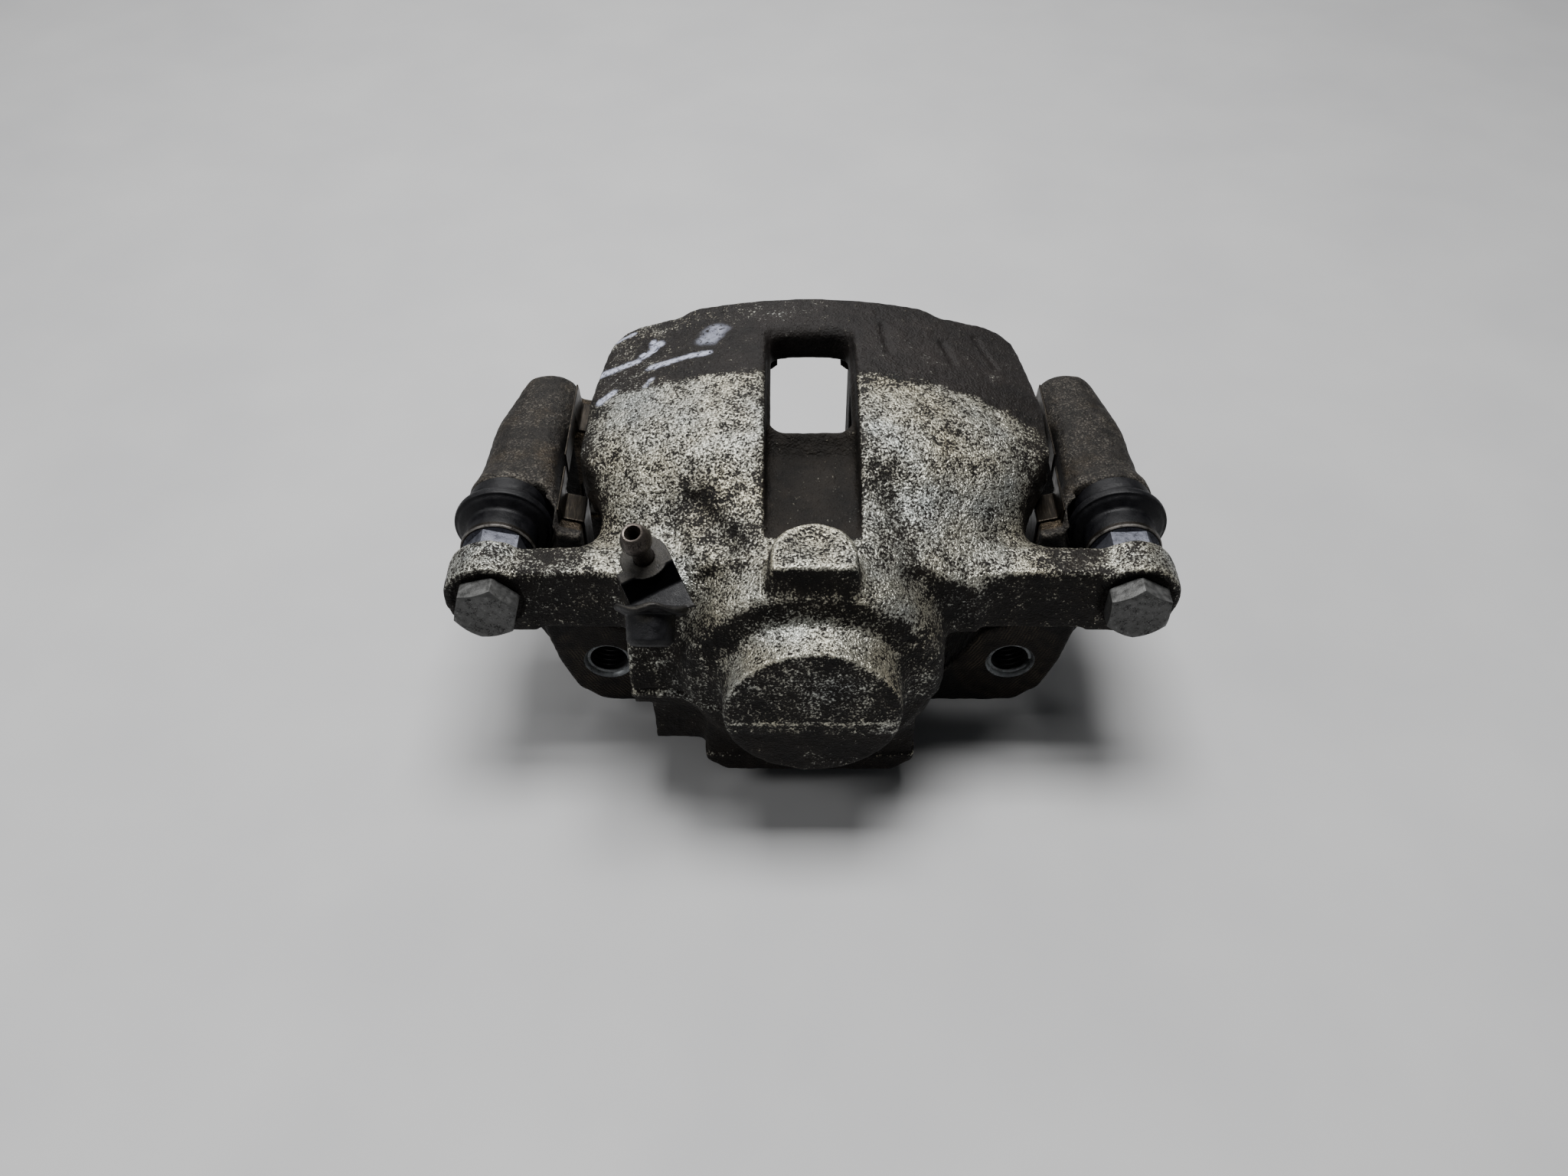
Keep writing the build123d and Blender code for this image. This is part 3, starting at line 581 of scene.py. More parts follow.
def spring_sheet():
    """Stainless spring sheet, heat-tinted, dark low down and bright along its cut edges."""
    s = Shader("spring_sheet")
    rolled = s.noise(0.4, 2.0, 0.5, stretch=(1, 0.1, 1))
    film = s.noise(3.0, 4.0)
    colour = s.mix(film, (0.034, 0.027, 0.020), (0.009, 0.0075, 0.006))
    colour = s.mix(s.math("MULTIPLY", s.span(rolled, 0.5, 1.0), 0.6), colour, (0.07, 0.058, 0.042))
    shaded = s.mix(film, (0.009, 0.0075, 0.006), (0.004, 0.0035, 0.003))
    colour = s.mix(s.span(s.along("Z"), 41.0, 39.0), colour, shaded)
    # Cut edges lighter: worn metal with painted highlights.
    edge = s.math("MULTIPLY", s.painted("wear_and_highlight"), s.span(film, 0.1, 0.6))
    colour = s.mix(edge, colour, (0.13, 0.11, 0.085))
    return s.finish(colour, 0.9, s.span(film, 0, 1, 0.30, 0.5), [(rolled, 0.015), (film, 0.02)])


def cap_rubber():
    """The bleed cap's rubber: lighter on top for dust and a painted top light, with pale worn edges carrying
    painted highlights, and a black recess in front, a painted shadow.
    """
    s = Shader("cap_rubber")
    pores = s.noise(0.3, 3.0, 0.6)
    cloud = s.noise(1.8, 4.0)
    top, edge, recess = s.painted("top"), s.painted("wear_and_highlight"), s.painted("recess")
    colour = s.mix(cloud, (0.0024, 0.0024, 0.0030), (0.0065, 0.0065, 0.0080))
    # Dust and a painted top light on the top plate.
    dust_and_top_light = s.mix(pores, (0.012, 0.011, 0.009), (0.038, 0.034, 0.028))
    colour = s.mix(s.math("MULTIPLY", top, s.span(cloud, 0.0, 0.5, 0.4, 1.0)), colour, dust_and_top_light)
    colour = s.mix(s.math("MULTIPLY", edge, s.span(pores, 0.1, 0.7)), colour, (0.045, 0.041, 0.036))
    # A painted shadow: the recess goes near black and loses most of its specular reflection.
    colour = s.mix(recess, colour, (0.0012, 0.0012, 0.0014))
    rough = s.total((0.36, None), (0.25, cloud), (0.3, recess))
    gleam = s.span(recess, 0, 1, 0.22, 0.02)
    return s.finish(colour, 0.0, rough, [(cloud, 0.06), (pores, 0.04)], Specular_IOR_Level=gleam)


def moulded_rubber(name, tone, dust, gloss):
    """Moulded rubber: a faint skin, dust where it faces up, and fine pores."""
    s = Shader(name)
    pores = s.noise(0.3, 3.0, 0.6)
    cloud = s.noise(2.4, 4.0)
    powder = s.span(s.facing("Z"), 0.2, 1.0, smooth=True)
    patches = s.span(s.math("MULTIPLY", cloud, pores), 0.15, 0.6)
    powder = s.total((dust, s.math("MULTIPLY", powder, patches)))
    colour = s.mix(cloud, tone, [c * 1.8 for c in tone])
    colour = s.mix(powder, colour, (0.07, 0.067, 0.064))
    rough = s.span(cloud, 0, 1, gloss, gloss + 0.2)
    return s.finish(colour, 0.0, rough, [(cloud, 0.05), (pores, 0.03)], Specular_IOR_Level=0.22)


CASTING = zinc_casting()
IRON = bare_iron()
BOLT_ZINC = zinc_plate("bolt_zinc", (0.085, 0.085, 0.083), (0.018, 0.0175, 0.017), 0.42)
PIN_ZINC = zinc_plate("pin_zinc", (0.085, 0.088, 0.105), (0.016, 0.0165, 0.020), 0.38, 6.9, True)
NIPPLE_STEEL = zinc_plate("nipple_steel", (0.066, 0.056, 0.049), (0.017, 0.014, 0.012), 0.30)
THREAD_ZINC = zinc_plate("chamfer_steel", (0.20, 0.21, 0.215), (0.06, 0.06, 0.06), 0.34, 1.2)
PISTON_CHROME = ground_steel("piston_chrome", (0.62, 0.62, 0.62), 0.12)
RING_STEEL = ground_steel("ring_steel", (0.45, 0.44, 0.42), 0.3)
SPRING = spring_sheet()
RUBBER = moulded_rubber("boot_rubber", (0.0024, 0.0024, 0.0031), 0.07, 0.38)
CAP_RUBBER = cap_rubber()
SEAL_RUBBER = moulded_rubber("seal_rubber", (0.012, 0.012, 0.012), 0.0, 0.4)


# ---------------------------------------------------------------- the two castings

def band(values, low, high, soft):
    """1 between low and high, fading to 0 over the soft distance outside them."""
    return ramp(values, low - soft, low) * ramp(-values, -high - soft, -high)


def streak(co, start, end):
    """Distance in plan from each point to a straight stroke."""
    (ax, ay), (bx, by) = start, end
    x, y = co[:, 0], co[:, 1]
    along = np.clip(((x - ax) * (bx - ax) + (y - ay) * (by - ay)) / ((bx - ax) ** 2 + (by - ay) ** 2), 0, 1)
    return np.hypot(x - ax - along * (bx - ax), y - ay - along * (by - ay))


def shape_pad(s):
    """The clamping pad on the cylinder: an arched rear end and a round bowl in its top."""
    x, y, z = s.co.T
    top, base, radius, centre = 64.0, 57.3, 10.6, -20.9
    near = (np.abs(x) < 12.2) & (y > -27) & (y < -8) & (z > base)
    inside = ramp(radius - np.hypot(x, np.maximum(y - centre, 0)), -0.9, 0.5)
    z = np.where(near, base + (np.minimum(z, top) - base) * inside, z)
    bowl = np.clip(1 - (np.hypot(x + 0.3, y + 16.6) / 5.6) ** 2, 0, 1) ** 0.7
    z = np.where(near & (z > 62), z - 1.7 * bowl, z)
    s.co[:, 2] = z


def narrow_shoulders(s):
    """The bridge drawn in a little on both sides, more on the left."""
    x, y, z = s.co.T
    left = 0.042 * ramp(-x, 30, 58)
    right = 0.016 * ramp(x, 30, 58) * ramp(-y, -45, -25)
    s.co[:, 0] = x * (1 - ramp(y, 6, 16) * ramp(z, 30, 38) * np.where(x < 0, left, right))


def housing():
    """The housing casting: the CAD's shape with fillets, soft shoulders, cast marks and sand roughness."""
    piece = dense_copy("caliper_housing", VOXEL, "housing_casting")
    s = Surface(piece.data)
    shape_pad(s)
    narrow_shoulders(s)
    x, y, z = s.co.T
    from_cylinder = round_about(s.co, 0, cylinder_z)
    from_pin = np.hypot(np.abs(x) - pin_x, z - pin_z)
    bore = (from_cylinder < 33) & (y > -13.5) & (z < 57)
    holes = (from_pin < 6.2) & (y < 1)
    groove = (np.abs(x) < 13) & (y > -9) & (z > 50)
    pad = (np.abs(x) < 12.5) & (y < -8) & (z > 58)
    crown = (from_cylinder < 23.5) & (y < -34)
    free = 1.0 - (bore | holes)
    filleted = free * np.where(groove, 0.12, 1.0) * np.where(pad, 0.5, 1.0)
    s.fillet(s.blurred(filleted[:, None], 4)[:, 0], int(80 * ROUND_SCALE))
    shoulder = ramp(np.abs(x), 13.5, 18) * ramp(-np.abs(x), -63, -57) * band(y, -8, 38, 6) * ramp(z, 38, 45)
    shoulder *= 1 - 0.8 * ramp(np.abs(x), 42, 50) * ramp(-y, -2, 2)
    s.soften(0.98 * s.blurred(shoulder[:, None], 6)[:, 0], int(110 * ROUND_SCALE))
    s.soften(free * np.where(crown | pad, 0.45, 1.0), max(2, int(7 * ROUND_SCALE)))
    x, y, z = s.co.T
    hollow = 2.0 * np.exp(-(streak(s.co, (-30, 3), (-21, -10)) / 3.0) ** 2)
    hollow += 1.3 * np.exp(-(streak(s.co, (21, 1), (26, -11)) / 5.5) ** 2)
    hollow += 0.8 * np.exp(-(streak(s.co, (-38, 6), (-33, -6)) / 3.0) ** 2)
    ledge = ramp(-z, -17.4, -16.9) * band(y, -30, 12.4, 0.4) * ramp(from_cylinder, 29, 31) * (z > -10)
    lip = band(z, 13.8, 15.2, 0.7) * ramp(-y, 21.8, 22.8) * band(x, -50, -24, 1)
    flash = band(z, 45.5, 47.0, 0.7) * ramp(np.abs(x), 61.5, 63.0) * band(y, 23, 46, 3)
    seat = ramp(-from_pin, -9.5, -9.1) * ramp(-y, 11.9, 12.3) * (np.abs(x) > 60)
    marks = np.zeros(s.size)
    for (at_x, at_y), size in (((-44.0, 61.5), 2.3), ((-27.6, 63.4), 2.7)):
        marks += 0.9 * ramp(-np.hypot(x - at_x, y - at_y), -size, -size + 1.2)
    for start, end in (((20.5, 66), (21.6, 52)), ((37, 62), (39, 52)), ((47, 69), (51.5, 55))):
        marks += 0.55 * ramp(-streak(s.co, start, end), -1.5, -0.7)
    marks *= (z > 40) * (y > 30)
    rough = 0.17 * grain(s.co, 9.0, 1) + 0.13 * grain(s.co, 2.8, 2) + 0.09 * grain(s.co, 1.4, 3)
    rough *= np.where(groove, 0.7, 1.0) * (1 - 0.5 * ramp(y, 42, 46) * ramp(z, 30, 40))
    proud = rough * (1 - seat) - hollow * ramp(z, 44, 50) - 0.7 * ledge + 0.6 * flash + 0.7 * lip
    s.push(free * (proud - marks - 0.5 * seat))
    paint_housing(s, from_cylinder, bore, seat, flash)
    s.write(*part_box("caliper_housing"))
    dress(piece, CASTING, "housing", ["caliper_housing"])


def paint_housing(s, from_cylinder, bore, seat, flash):
    """The zinc casting's painted attributes: worn edges with painted highlights, up (a painted top light), scorch,
    matt faces with painted shade, chalk smudge and painted shade.
    """
    normal = s.blurred(s.normals(), 4)
    proud = s.convexity(8)
    x, y, z = s.co.T
    lit = 0.25 + 0.75 * ramp(normal[:, 2], -0.1, 0.5)
    # A bright line along the sill over the hose lug: a flash line with a painted highlight on its edge.
    sill = band(z, 13.6, 16.2, 0.8) * ramp(-y, 21.5, 22.5) * band(x, -50, -24, 1)
    sill *= 0.7 + 0.5 * grain(s.co, 2.0, 21)
    ridge = band(z, 21.6, 22.4, 0.5) * ramp(-y, 38.6, 39.0) * ramp(-from_cylinder, -21.5, -20.5)
    rim = band(y, 71, 90, 5) * ramp(-x, -12, 4) * ramp(normal[:, 2], 0.2, 0.6)
    grooved = ramp(-np.abs(x), -14.5, -12.5) * ramp(z, 48, 54) * ramp(y, -8, -4)
    nose = 0.26 * ramp(-y, 24, 30) * ramp(-np.abs(x), -36, -30)
    nose += 0.22 * ramp(-y, 19, 21) * ramp(-z, -15, -11)
    # Convex edges, weighted by lit: worn metal, with a painted highlight where they face up and catch the top
    # light.
    worn = ramp(proud, 0.05, 0.35) * lit * (1 - 0.8 * grooved)
    worn += 0.8 * band(z, 26.4, 27.3, 0.4) * ramp(-y, 11.2, 12.0) * band(np.abs(x), 46, 69, 2)
    worn += 0.5 * ramp(-x, 45.4, 46.4) * ramp(-y, 14, 17) * ramp(-z, -42, -36)
    s.paint("wear_and_highlight", worn + 0.9 * ridge + 0.7 * flash + 1.3 * sill + 0.35 * rim + nose)
    # How far the casting faces up, less on the ears: a painted top light that gives those faces more bright
    # grains.
    ears = 0.25 * ramp(np.abs(x), 62, 70)
    s.paint("up", ramp(normal[:, 2], 0.05, 0.75) * (1 - ears))
    limit = 42.0 - 2.0 * ramp(x, 8, 30) - 7.0 * ramp(x, 30, 64) + 1.2 * ramp(-x, 30, 60)
    ragged = y + 1.6 * grain(s.co, 7.0, 4) + 0.8 * grain(s.co, 2.5, 9)
    burnt = ramp(ragged, limit - 2.5, limit + 2.5) * ramp(z, 20, 40)
    s.paint("scorch", burnt * (1 - 0.3 * ramp(-x, 5, 45)))
    inside = ramp(-np.abs(x), -12.6, -11.4) * ramp(z, 48, 52) * band(y, -9, 63, 1.5)
    # Matt and darker: the machined pin seats, with painted shade in the groove, the bore and underneath.
    s.paint("dull_and_shade", np.maximum.reduce([inside, 0.8 * bore, 0.75 * seat, 0.5 * ramp(-z, -19, -16)]))
    chalk = [
        ((-57.7, 56.7), (-47.8, 57.4), 1.7),
        ((-45.9, 59.0), (-42.2, 63.5), 2.0),
        ((-43.5, 51.8), (-27.8, 53.6), 1.5),
        ((-56.8, 42.5), (-53.6, 44.5), 1.6),
        ((-44.3, 43.2), (-43.0, 45.4), 1.1),
        ((-57, 72), (-50, 74), 1.0),
        ((-43, 61), (-44, 66), 1.2),
    ]
    fray = 0.6 * grain(s.co, 2.2, 12)
    smudge = 0.5 * ramp(-streak(s.co, (-28, 61), (-26, 65)) + grain(s.co, 3.0, 13), -4.2, -1.5)
    for start, end, width in chalk:
        smudge = np.maximum(smudge, ramp(fray - streak(s.co, start, end), -width, -width + 1.0))
    s.paint("smudge", smudge * ramp(normal[:, 2], 0.45, 0.7) * (z > 35))
    uneven = 1.4 * grain(s.co, 5.0, 14)
    creases = np.exp(-((streak(s.co, (-31, 4), (-17, -9)) + uneven) / 6.5) ** 2)
    creases = np.maximum(creases, np.exp(-((streak(s.co, (17, 8), (24, -12)) + uneven) / 6.5) ** 2))
    creases = np.maximum(creases, 0.6 * np.exp(-((np.abs(x) - 12.5 + uneven) / 3.2) ** 2) * band(y, -6, 44, 5))
    flanks = ramp(np.abs(x) + uneven, 50, 62) * band(y, 4, 40, 6)
    bars = 0.5 * ramp(np.abs(x) + uneven, 54, 62) * ramp(-y, -3, 0) * ramp(-np.abs(x), -76, -70)
    bars *= ramp(normal[:, 2], 0.3, 0.7)
    step = 0.8 * band(y, 20.2, 21.4, 0.8) * inside
    shades = [0.34 * creases * ramp(z, 44, 50), 0.5 * flanks, bars, 0.35 * inside, step]
    s.paint("shade", np.maximum.reduce(shades))


def carrier():
    """The carrier bracket: the CAD's shape with fillets, rounded arms and milled and sliding faces."""
    piece = dense_copy("carrier_bracket", VOXEL, "carrier_casting")
    s = Surface(piece.data)
    x, y, z = s.co.T
    from_hole = np.hypot(np.abs(x) - mount_x, z)
    bores = (np.hypot(np.abs(x) - pin_x, z - pin_z) < 7.0) & (y > 20) & (y < 55)
    seats = (np.abs(x) < 67.6) & (z > 7) & (z < 40.5) & (y > 12)
    free = 1.0 - (bores | (from_hole < 7.6))
    filleted = free * np.where(seats, 0.1, 1.0)
    s.fillet(s.blurred(filleted[:, None], 3)[:, 0], int(55 * ROUND_SCALE))
    s.soften(free * np.where(seats, 0.6, 1.0), max(2, int(9 * ROUND_SCALE)))
    tips = ramp(np.abs(x), 67.5, 69) * ramp(y, 40, 60) * ramp(z, 15, 25) * np.where(bores, 0, 1)
    s.soften(0.95 * tips, int(60 * ROUND_SCALE))
    arms = ramp(np.abs(x), 67.5, 69) * ramp(y, 27.5, 30) * ramp(z, 20, 28) * np.where(bores, 0, 1)
    s.soften(0.9 * arms, int(16 * ROUND_SCALE))
    milled = band(y, -1, 1.2, 0.3) * ramp(np.abs(x), 30, 34) * ramp(-from_hole, -17, -15)
    rough = 0.24 * grain(s.co, 7.0, 5) + 0.15 * grain(s.co, 2.4, 6)
    s.push(free * np.where(seats, 0.2, 1.0) * (1 - milled) * rough)
    # Room for the threaded lining of each mounting hole.
    x, y, z = s.co.T
    from_hole = np.hypot(np.abs(x) - mount_x, z)
    widen = np.where(from_hole < LINING_R, LINING_R / np.maximum(from_hole, 1.0), 1.0)
    s.co[:, 0] = np.sign(x) * (mount_x + (np.abs(x) - mount_x) * widen)
    s.co[:, 2] = z * widen
    normal = s.blurred(s.normals(), 3)
    x, y, z = s.co.T
    mouth = band(y, 23.0, 25.5, 0.8) * ramp(normal[:, 2], 0.1, 0.6) * ramp(np.abs(x), 70, 72)
    # Convex edges that don't face down, and the towers' mouths, painted lighter: worn iron with a painted
    # highlight.
    worn = ramp(s.convexity(8), 0.06, 0.34) * ramp(normal[:, 2], -0.5, 0.3)
    s.paint("wear_and_highlight", worn + 0.55 * mouth * ramp(grain(s.co, 3.0, 15), -0.3, 0.5))
    s.paint("up", ramp(normal[:, 2], 0.05, 0.8))
    slides = (np.abs(x) < 67.6) & (z > 7) & (z < 40.8) & (y > 12.5)
    s.paint("machined", slides.astype(float))
    s.paint("milled", milled * ramp(-normal[:, 1], 0.6, 0.8))
    s.write(*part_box("carrier_bracket"))
    dress(piece, IRON, "carrier", ["carrier_bracket"])


def thread_lining(name, side):
    """Bright chamfer and the thread's flanks inside one mounting hole."""
    steps = 72
    laps = int((THREAD_DEPTH - THREAD_START) / THREAD_PITCH) + 2
    flanks = ((6.0, 0.0), (5.2, 0.42), (5.2, 0.56))
    rows = [[(7.25, 0.02)] * steps, [(7.0, 0.06)] * steps, [(6.05, 1.1)] * steps]
    for lap in range(laps):
        for radius, shift in flanks:
            row = [THREAD_START + THREAD_PITCH * (lap + shift + i / steps - 1) for i in range(steps)]
            rows.append([(radius, min(max(h, THREAD_START), THREAD_DEPTH)) for h in row])
    rows += [[(6.2, THREAD_DEPTH)] * steps, [(7.2, THREAD_DEPTH)] * steps, [(7.3, 1.0)] * steps]
    verts = []
    for row in rows:
        for i, (radius, y) in enumerate(row):
            angle = 2 * pi * i / steps
            verts.append(Vector((side * mount_x + radius * cos(angle), y, radius * sin(angle))) * MM)
    faces = ring_faces(len(rows), steps, True)
    add_piece(f"mount_thread_{name}", verts, faces, THREAD_ZINC, "carrier",
              ["carrier_bracket"])


housing()
carrier()
for side_name, side_sign in SIDES.items():
    thread_lining(side_name, side_sign)


# ---------------------------------------------------------------- pins, bolts and boots

def along_y(x, y, z):
    return axes(Vector((x, y, z)) * MM, ALONG_Y)


def span_y(node):
    """A node's lowest and highest Y in millimetres."""
    low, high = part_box(node)
    return low.y / MM, high.y / MM


def guide_bolt(name, place, turn):
    low, high = span_y(f"guide_bolt_{name}")
    af, head = BOLT_FLATS, BOLT_HEAD_Y
    rings = [
        (ON_AXIS, low + 0.25), (5.4, low + 0.2), (6.0, low, af), (7.15, low, af), (7.35, low + 0.05, af),
        (9, low + 0.2, af, 0.58), (9, head - 0.25, af), (8.4, head, af), (7.2, head + 0.02), (7.2, head + 0.6),
        (4.5, head + 0.6), (4.5, high - 0.8), (3.7, high), (ON_AXIS, high),
    ]
    turned(f"guide_bolt_{name}_turned", rings, place, BOLT_ZINC, "housing",
           [f"guide_bolt_{name}"], turn=turn, steps=120)


def guide_pin(name, place, turn):
    low, high = span_y(f"guide_pin_{name}")
    af = PIN_FLATS
    rings = [
        (ON_AXIS, low + 17.0), (4.56, low + 17.0), (4.56, low + 0.4), (5.0, low, af), (7.7, low, af),
        (9.3, low + 0.1, af, 0.5), (9.3, 4.55, af), (9.4, 4.7), (9.7, 4.72), (9.97, 5.0), (10.0, 5.6),
        (9.97, 6.3), (9.7, 6.58), (7.0, 6.6), (7.0, 10.9), (PIN_R, 11.8), (PIN_R, 34.4),
    ]
    if name == "right":  # seat of the damping sleeve
        rings += [(5.0, 34.5), (5.0, 45.5), (PIN_R, 45.6)]
    rings += [(PIN_R, high - 1.2), (5.2, high), (ON_AXIS, high)]
    turned(f"guide_pin_{name}_turned", rings, place, PIN_ZINC, "housing",
           [f"guide_pin_{name}"], turn=turn, steps=120)


def pin_boot(name, place):
    fold = [
        (7.15, 6.72), (9.0, 6.72), (9.2, 7.2), (9.15, 11.6), (9.5, 12.3), (11.6, 13.3), (12.3, 14.0), (12.9, 14.1),
        (13.08, 14.6), (13.08, 15.6), (12.8, 16.4), (12.1, 16.9), (11.7, 17.6), (10.9, 18.0), (10.3, 18.8),
        (10.3, 19.8), (10.6, 20.2), (10.6, 22.9), (10.3, 23.25), (8.1, 23.28), (8.1, 18.6), (11.4, 16.4),
        (11.6, 15.4), (7.9, 13.4), (7.15, 11.2),
    ]
    turned(f"pin_boot_{name}_moulded", rounded(fold, 0.4), place, RUBBER, "housing",
           [f"pin_boot_{name}"], closed=True, steps=128)


BOLT_TURN = {"left": -15, "right": -30}  # degrees, how each bolt's head stands
PIN_TURN = {"left": 14, "right": -2}

for side_name, side_sign in SIDES.items():
    pin_place = along_y(side_sign * pin_x, 0, pin_z)
    guide_bolt(side_name, pin_place, radians(BOLT_TURN[side_name]))
    guide_pin(side_name, pin_place, radians(PIN_TURN[side_name]))
    pin_boot(side_name, pin_place)


def pin_sleeve():
    low, high = span_y("guide_pin_sleeve")
    outline = [
        (5.03, low), (6.1, low), (6.2, low + 1), (6.05, low + 3), (6.2, low + 5), (6.05, low + 7), (6.2, low + 9),
        (6.1, high), (5.03, high),
    ]
    turned("guide_pin_sleeve_moulded", rounded(outline, 0.3), along_y(pin_x, 0, pin_z), RUBBER, "housing",
           ["guide_pin_sleeve"], closed=True)


pin_sleeve()


# ---------------------------------------------------------------- piston, its seal, boot and ring

def piston_parts():
    place = along_y(0, 0, cylinder_z)
    low, high = span_y("piston")
    r, cup_floor = PISTON_R, PISTON_FLOOR_Y
    cup = [
        (0, low), (r - 1.6, low), (r, low + 2), (r, 11.2), (25.0, 11.3), (25.0, 13.5), (r - 0.4, 13.6),
        (r - 0.4, high - 0.6), (r - 1.0, high), (21.3, high), (20.5, high - 0.8), (19.6, cup_floor + 0.6),
        (18.4, cup_floor - 0.4), (6.0, cup_floor - 0.4), (5.0, cup_floor), (0, cup_floor),
    ]
    outline = rounded(cup, 0.5)
    outline[0] = (ON_AXIS, low)
    outline[-1] = (ON_AXIS, cup_floor)
    turned("piston_turned", outline, place, PISTON_CHROME, "piston", ["piston"], steps=160)
    low, high = span_y("piston_seal")
    seal = [(26.97, low), (SEAL_R - 0.05, low), (SEAL_R, high), (26.97, high)]
    turned("piston_seal_moulded", rounded(seal, 0.2), place, SEAL_RUBBER, "housing",
           ["piston_seal"], closed=True, steps=128)
    boot = [
        (28.6, 9.1), (29.85, 9.1), (29.85, 12.6), (29.2, 14.6), (28.0, 15.0), (27.2, 13.4), (25.15, 13.3),
        (25.1, 11.7), (27.6, 11.7), (28.4, 13.4), (28.6, 12.4),
    ]
    turned("piston_dust_boot_moulded", rounded(boot, 0.35), place, RUBBER, "housing",
           ["piston_dust_boot"], closed=True, steps=128)
    low, high = span_y("dust_boot_ring")
    ring = [(29.97, low), (30.98, low), (30.98, high), (29.97, high)]
    turned("dust_boot_ring_pressed", rounded(ring, 0.3), place, RING_STEEL, "housing",
           ["dust_boot_ring"], closed=True, steps=128)


piston_parts()


# ---------------------------------------------------------------- bleed screw and its cap

bleed_first = Matrix.Rotation(radians(25.0), 3, "Z") @ Vector((1, 0, 0))
bleed_place = axes(bleed_seat, bleed_axis, bleed_first)


def bleed_screw():
    """Cone, thread, hexagon, neck and the nipple's bead, with the drilling down its middle."""
    af = BLEED_FLATS
    rings = [
        (ON_AXIS, -25.0), (0.8, -25.0), (3.9, -21.8), (3.9, -5.6), (5.3, -5.3, af), (5.6, -5.0, af),
        (6, -0.4, af, -0.4), (5.0, 0.2), (2.9, 0.25), (2.5, 0.7), (2.5, 9.4), (3.0, 9.8), (3.65, 10.5),
        (3.85, 11.2), (3.8, 12.4), (3.35, 13.8), (2.75, 15.2), (2.4, 15.45), (2.0, 15.35), (1.7, 14.7),
        (1.4, 13.5), (1.3, 12.9), (1.3, -17.9), (ON_AXIS, -18.0),
    ]
    turned("bleed_screw_turned", rings, bleed_place, NIPPLE_STEEL, "bleed_screw",
           ["bleed_screw"], steps=72)


bleed_screw()


def bleed_cap():
    """The cap with its rounded edges, its top lighter for dust and a painted top light, and a painted shadow on
    the recess below the ring's front edge.
    """
    piece = dense_copy("bleed_cap", CAP_VOXEL, "bleed_cap_moulded")
    s = Surface(piece.data)
    s.soften(np.ones(s.size), 3)
    in_frame = Matrix(bleed_place).inverted()
    turn = np.array(in_frame.to_3x3())
    u, v, h = (s.co @ turn.T + np.array(in_frame.translation) / MM).T
    axis = np.array(CAP_AXIS)
    off = s.co - np.array(CAP_TOP)
    down = off @ axis
    from_axis = np.linalg.norm(off - down[:, None] * axis, axis=1)
    lip = ramp(from_axis, 6.4, 8.4) * band(down, -1.0, 1.0, 0.4)
    s.push(0.06 * grain(s.co, 4.0, 8))
    s.co += (0.55 * lip * np.sin(u * 0.75 + 0.6))[:, None] * axis
    normal = s.normals()
    along = normal @ np.array(bleed_axis)
    front = normal @ turn[1]
    # Top plate and flange lip painted lighter: dust, a painted top light, and a painted highlight on the lip.
    s.paint("top", ramp(along, 0.75, 0.95) * ramp(h, 2.5, 3.2) + 0.3 * lip)
    # The front wall under the ring's edge: a painted shadow.
    s.paint("recess", ramp(-front, 0.35, 0.7) * band(h, -0.3, 3.3, 0.5) * ramp(v, -8.6, -7.8))
    # Convex edges: worn rubber with painted highlights.
    s.paint("wear_and_highlight", ramp(s.convexity(5), 0.03, 0.10) * ramp(along, -0.3, 0.3))
    s.write(*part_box("bleed_cap"))
    dress(piece, CAP_RUBBER, "bleed_cap", ["bleed_cap"])


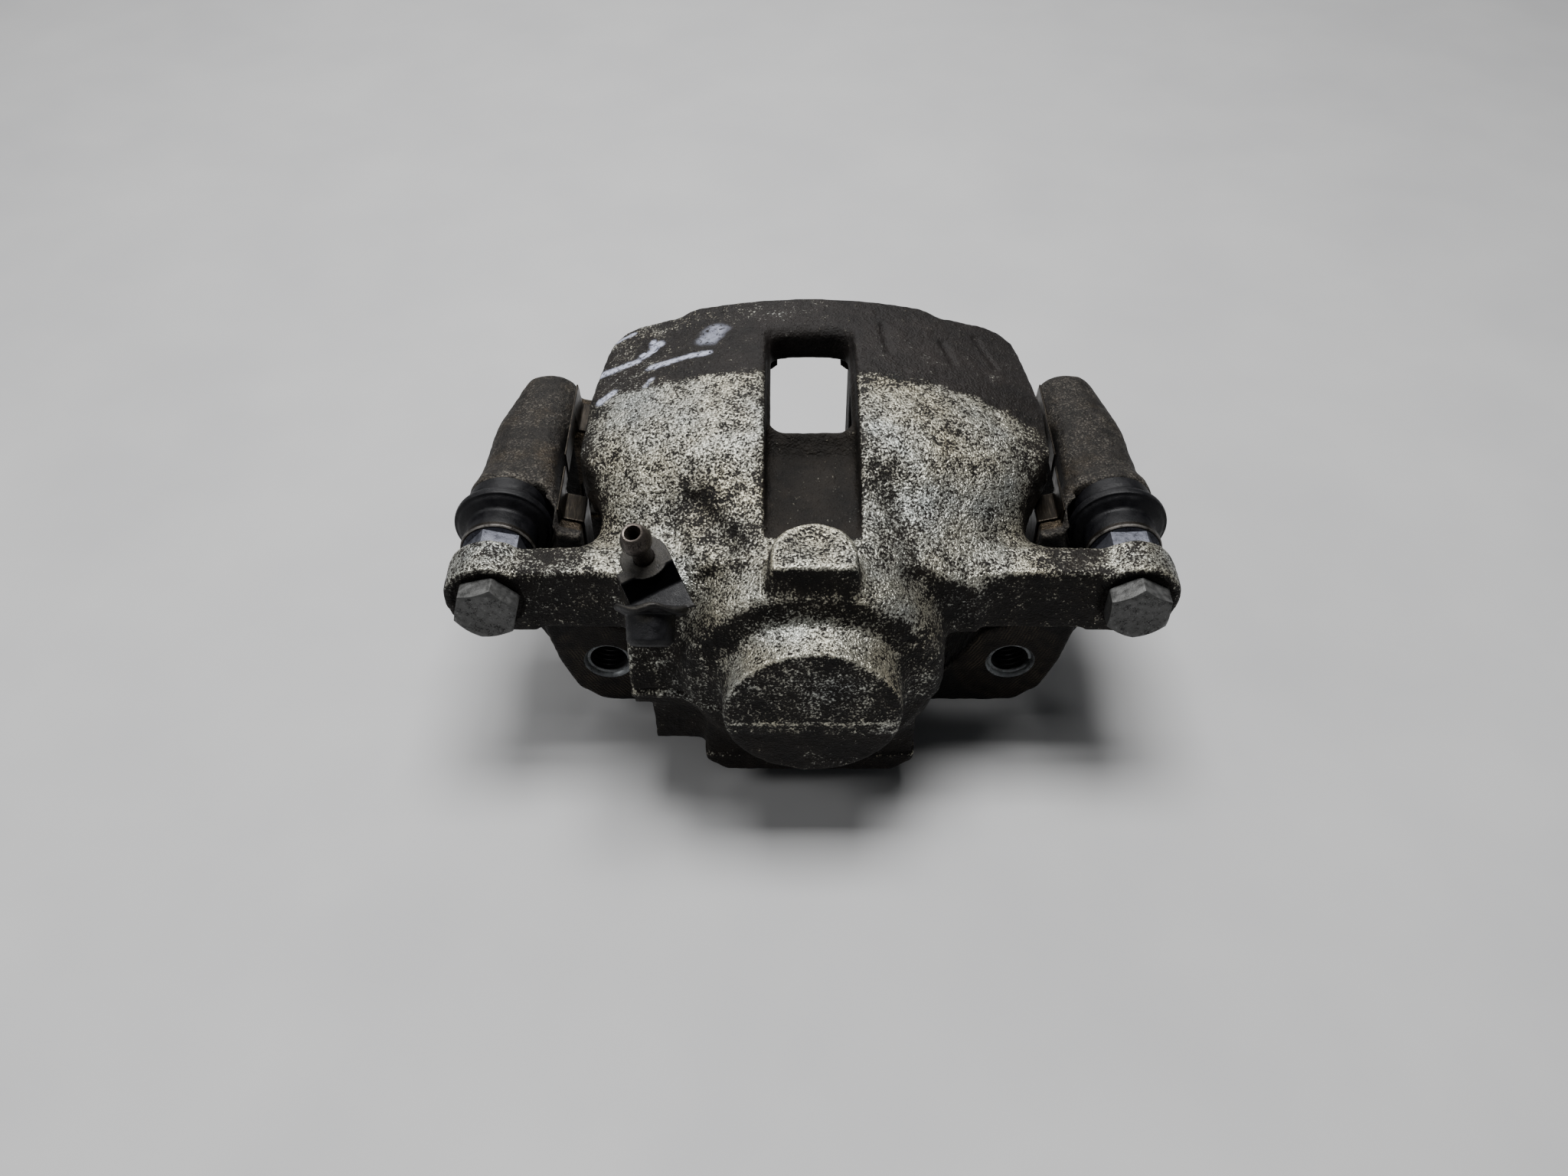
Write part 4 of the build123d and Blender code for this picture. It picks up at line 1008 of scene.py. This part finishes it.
def pad_clip(node):
    """One clip with its edges rounded, and bright along them: worn metal with painted highlights."""
    piece = dense_copy(node, CLIP_VOXEL, node + "_pressed")
    s = Surface(piece.data)
    s.soften(np.ones(s.size), 3)
    s.paint("wear_and_highlight", ramp(s.convexity(3), 0.03, 0.08))
    s.write(*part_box(node))
    dress(piece, SPRING, "carrier", [node])


bleed_cap()
for clip in [node for node in frame["nodes"] if node.startswith("pad_clip")]:
    pad_clip(clip)


# ---------------------------------------------------------------- floor, lights and camera

def floor():
    half, z = 3.0, cad_low.z
    corners = [(-half, -half, z), (half, -half, z), (half, half, z), (-half, half, z)]
    mesh = bpy.data.meshes.new("floor")
    mesh.from_pydata(corners, [], [(0, 1, 2, 3)])
    plane = bpy.data.objects.new("floor", mesh)
    bpy.context.scene.collection.objects.link(plane)
    s = Shader("floor_pale")
    colour = s.mix(s.noise(60.0, 3.0), (0.40, 0.40, 0.405), (0.44, 0.44, 0.44))
    mesh.materials.append(s.finish(colour, 0.0, 0.55))


def area_light(name, at, target, size, power):
    lamp = bpy.data.lights.new(name, "AREA")
    lamp.shape = "RECTANGLE"
    lamp.size, lamp.size_y = size
    lamp.energy = power
    light = bpy.data.objects.new(name, lamp)
    light.location = at
    light.rotation_euler = (Vector(target) - Vector(at)).to_track_quat("-Z", "Y").to_euler()
    bpy.context.scene.collection.objects.link(light)


def surroundings():
    world = bpy.data.worlds.new("studio")
    world.use_nodes = True
    background = world.node_tree.nodes["Background"]
    background.inputs["Color"].default_value = (0.75, 0.78, 0.82, 1)
    background.inputs["Strength"].default_value = 0.09
    bpy.context.scene.world = world
    area_light("overhead", (0.0, 0.10, 0.95), (0, 0.02, 0), (0.5, 0.32), 15.5)
    area_light("behind", (-0.15, 0.85, 0.55), (0, 0.02, 0), (0.7, 0.3), 4.0)
    area_light("side", (-0.7, -0.15, 0.6), (0, 0, 0), (0.35, 0.35), 2.5)


def camera():
    data = bpy.data.cameras.new("camera")
    data.sensor_width = 36.0
    data.lens = 30.27
    eye = bpy.data.objects.new("camera", data)
    eye.location = (-0.0071, -0.2420, 0.2804)
    eye.rotation_euler = (radians(44.0), 0, 0)
    bpy.context.scene.collection.objects.link(eye)
    bpy.context.scene.camera = eye


floor()
surroundings()
camera()
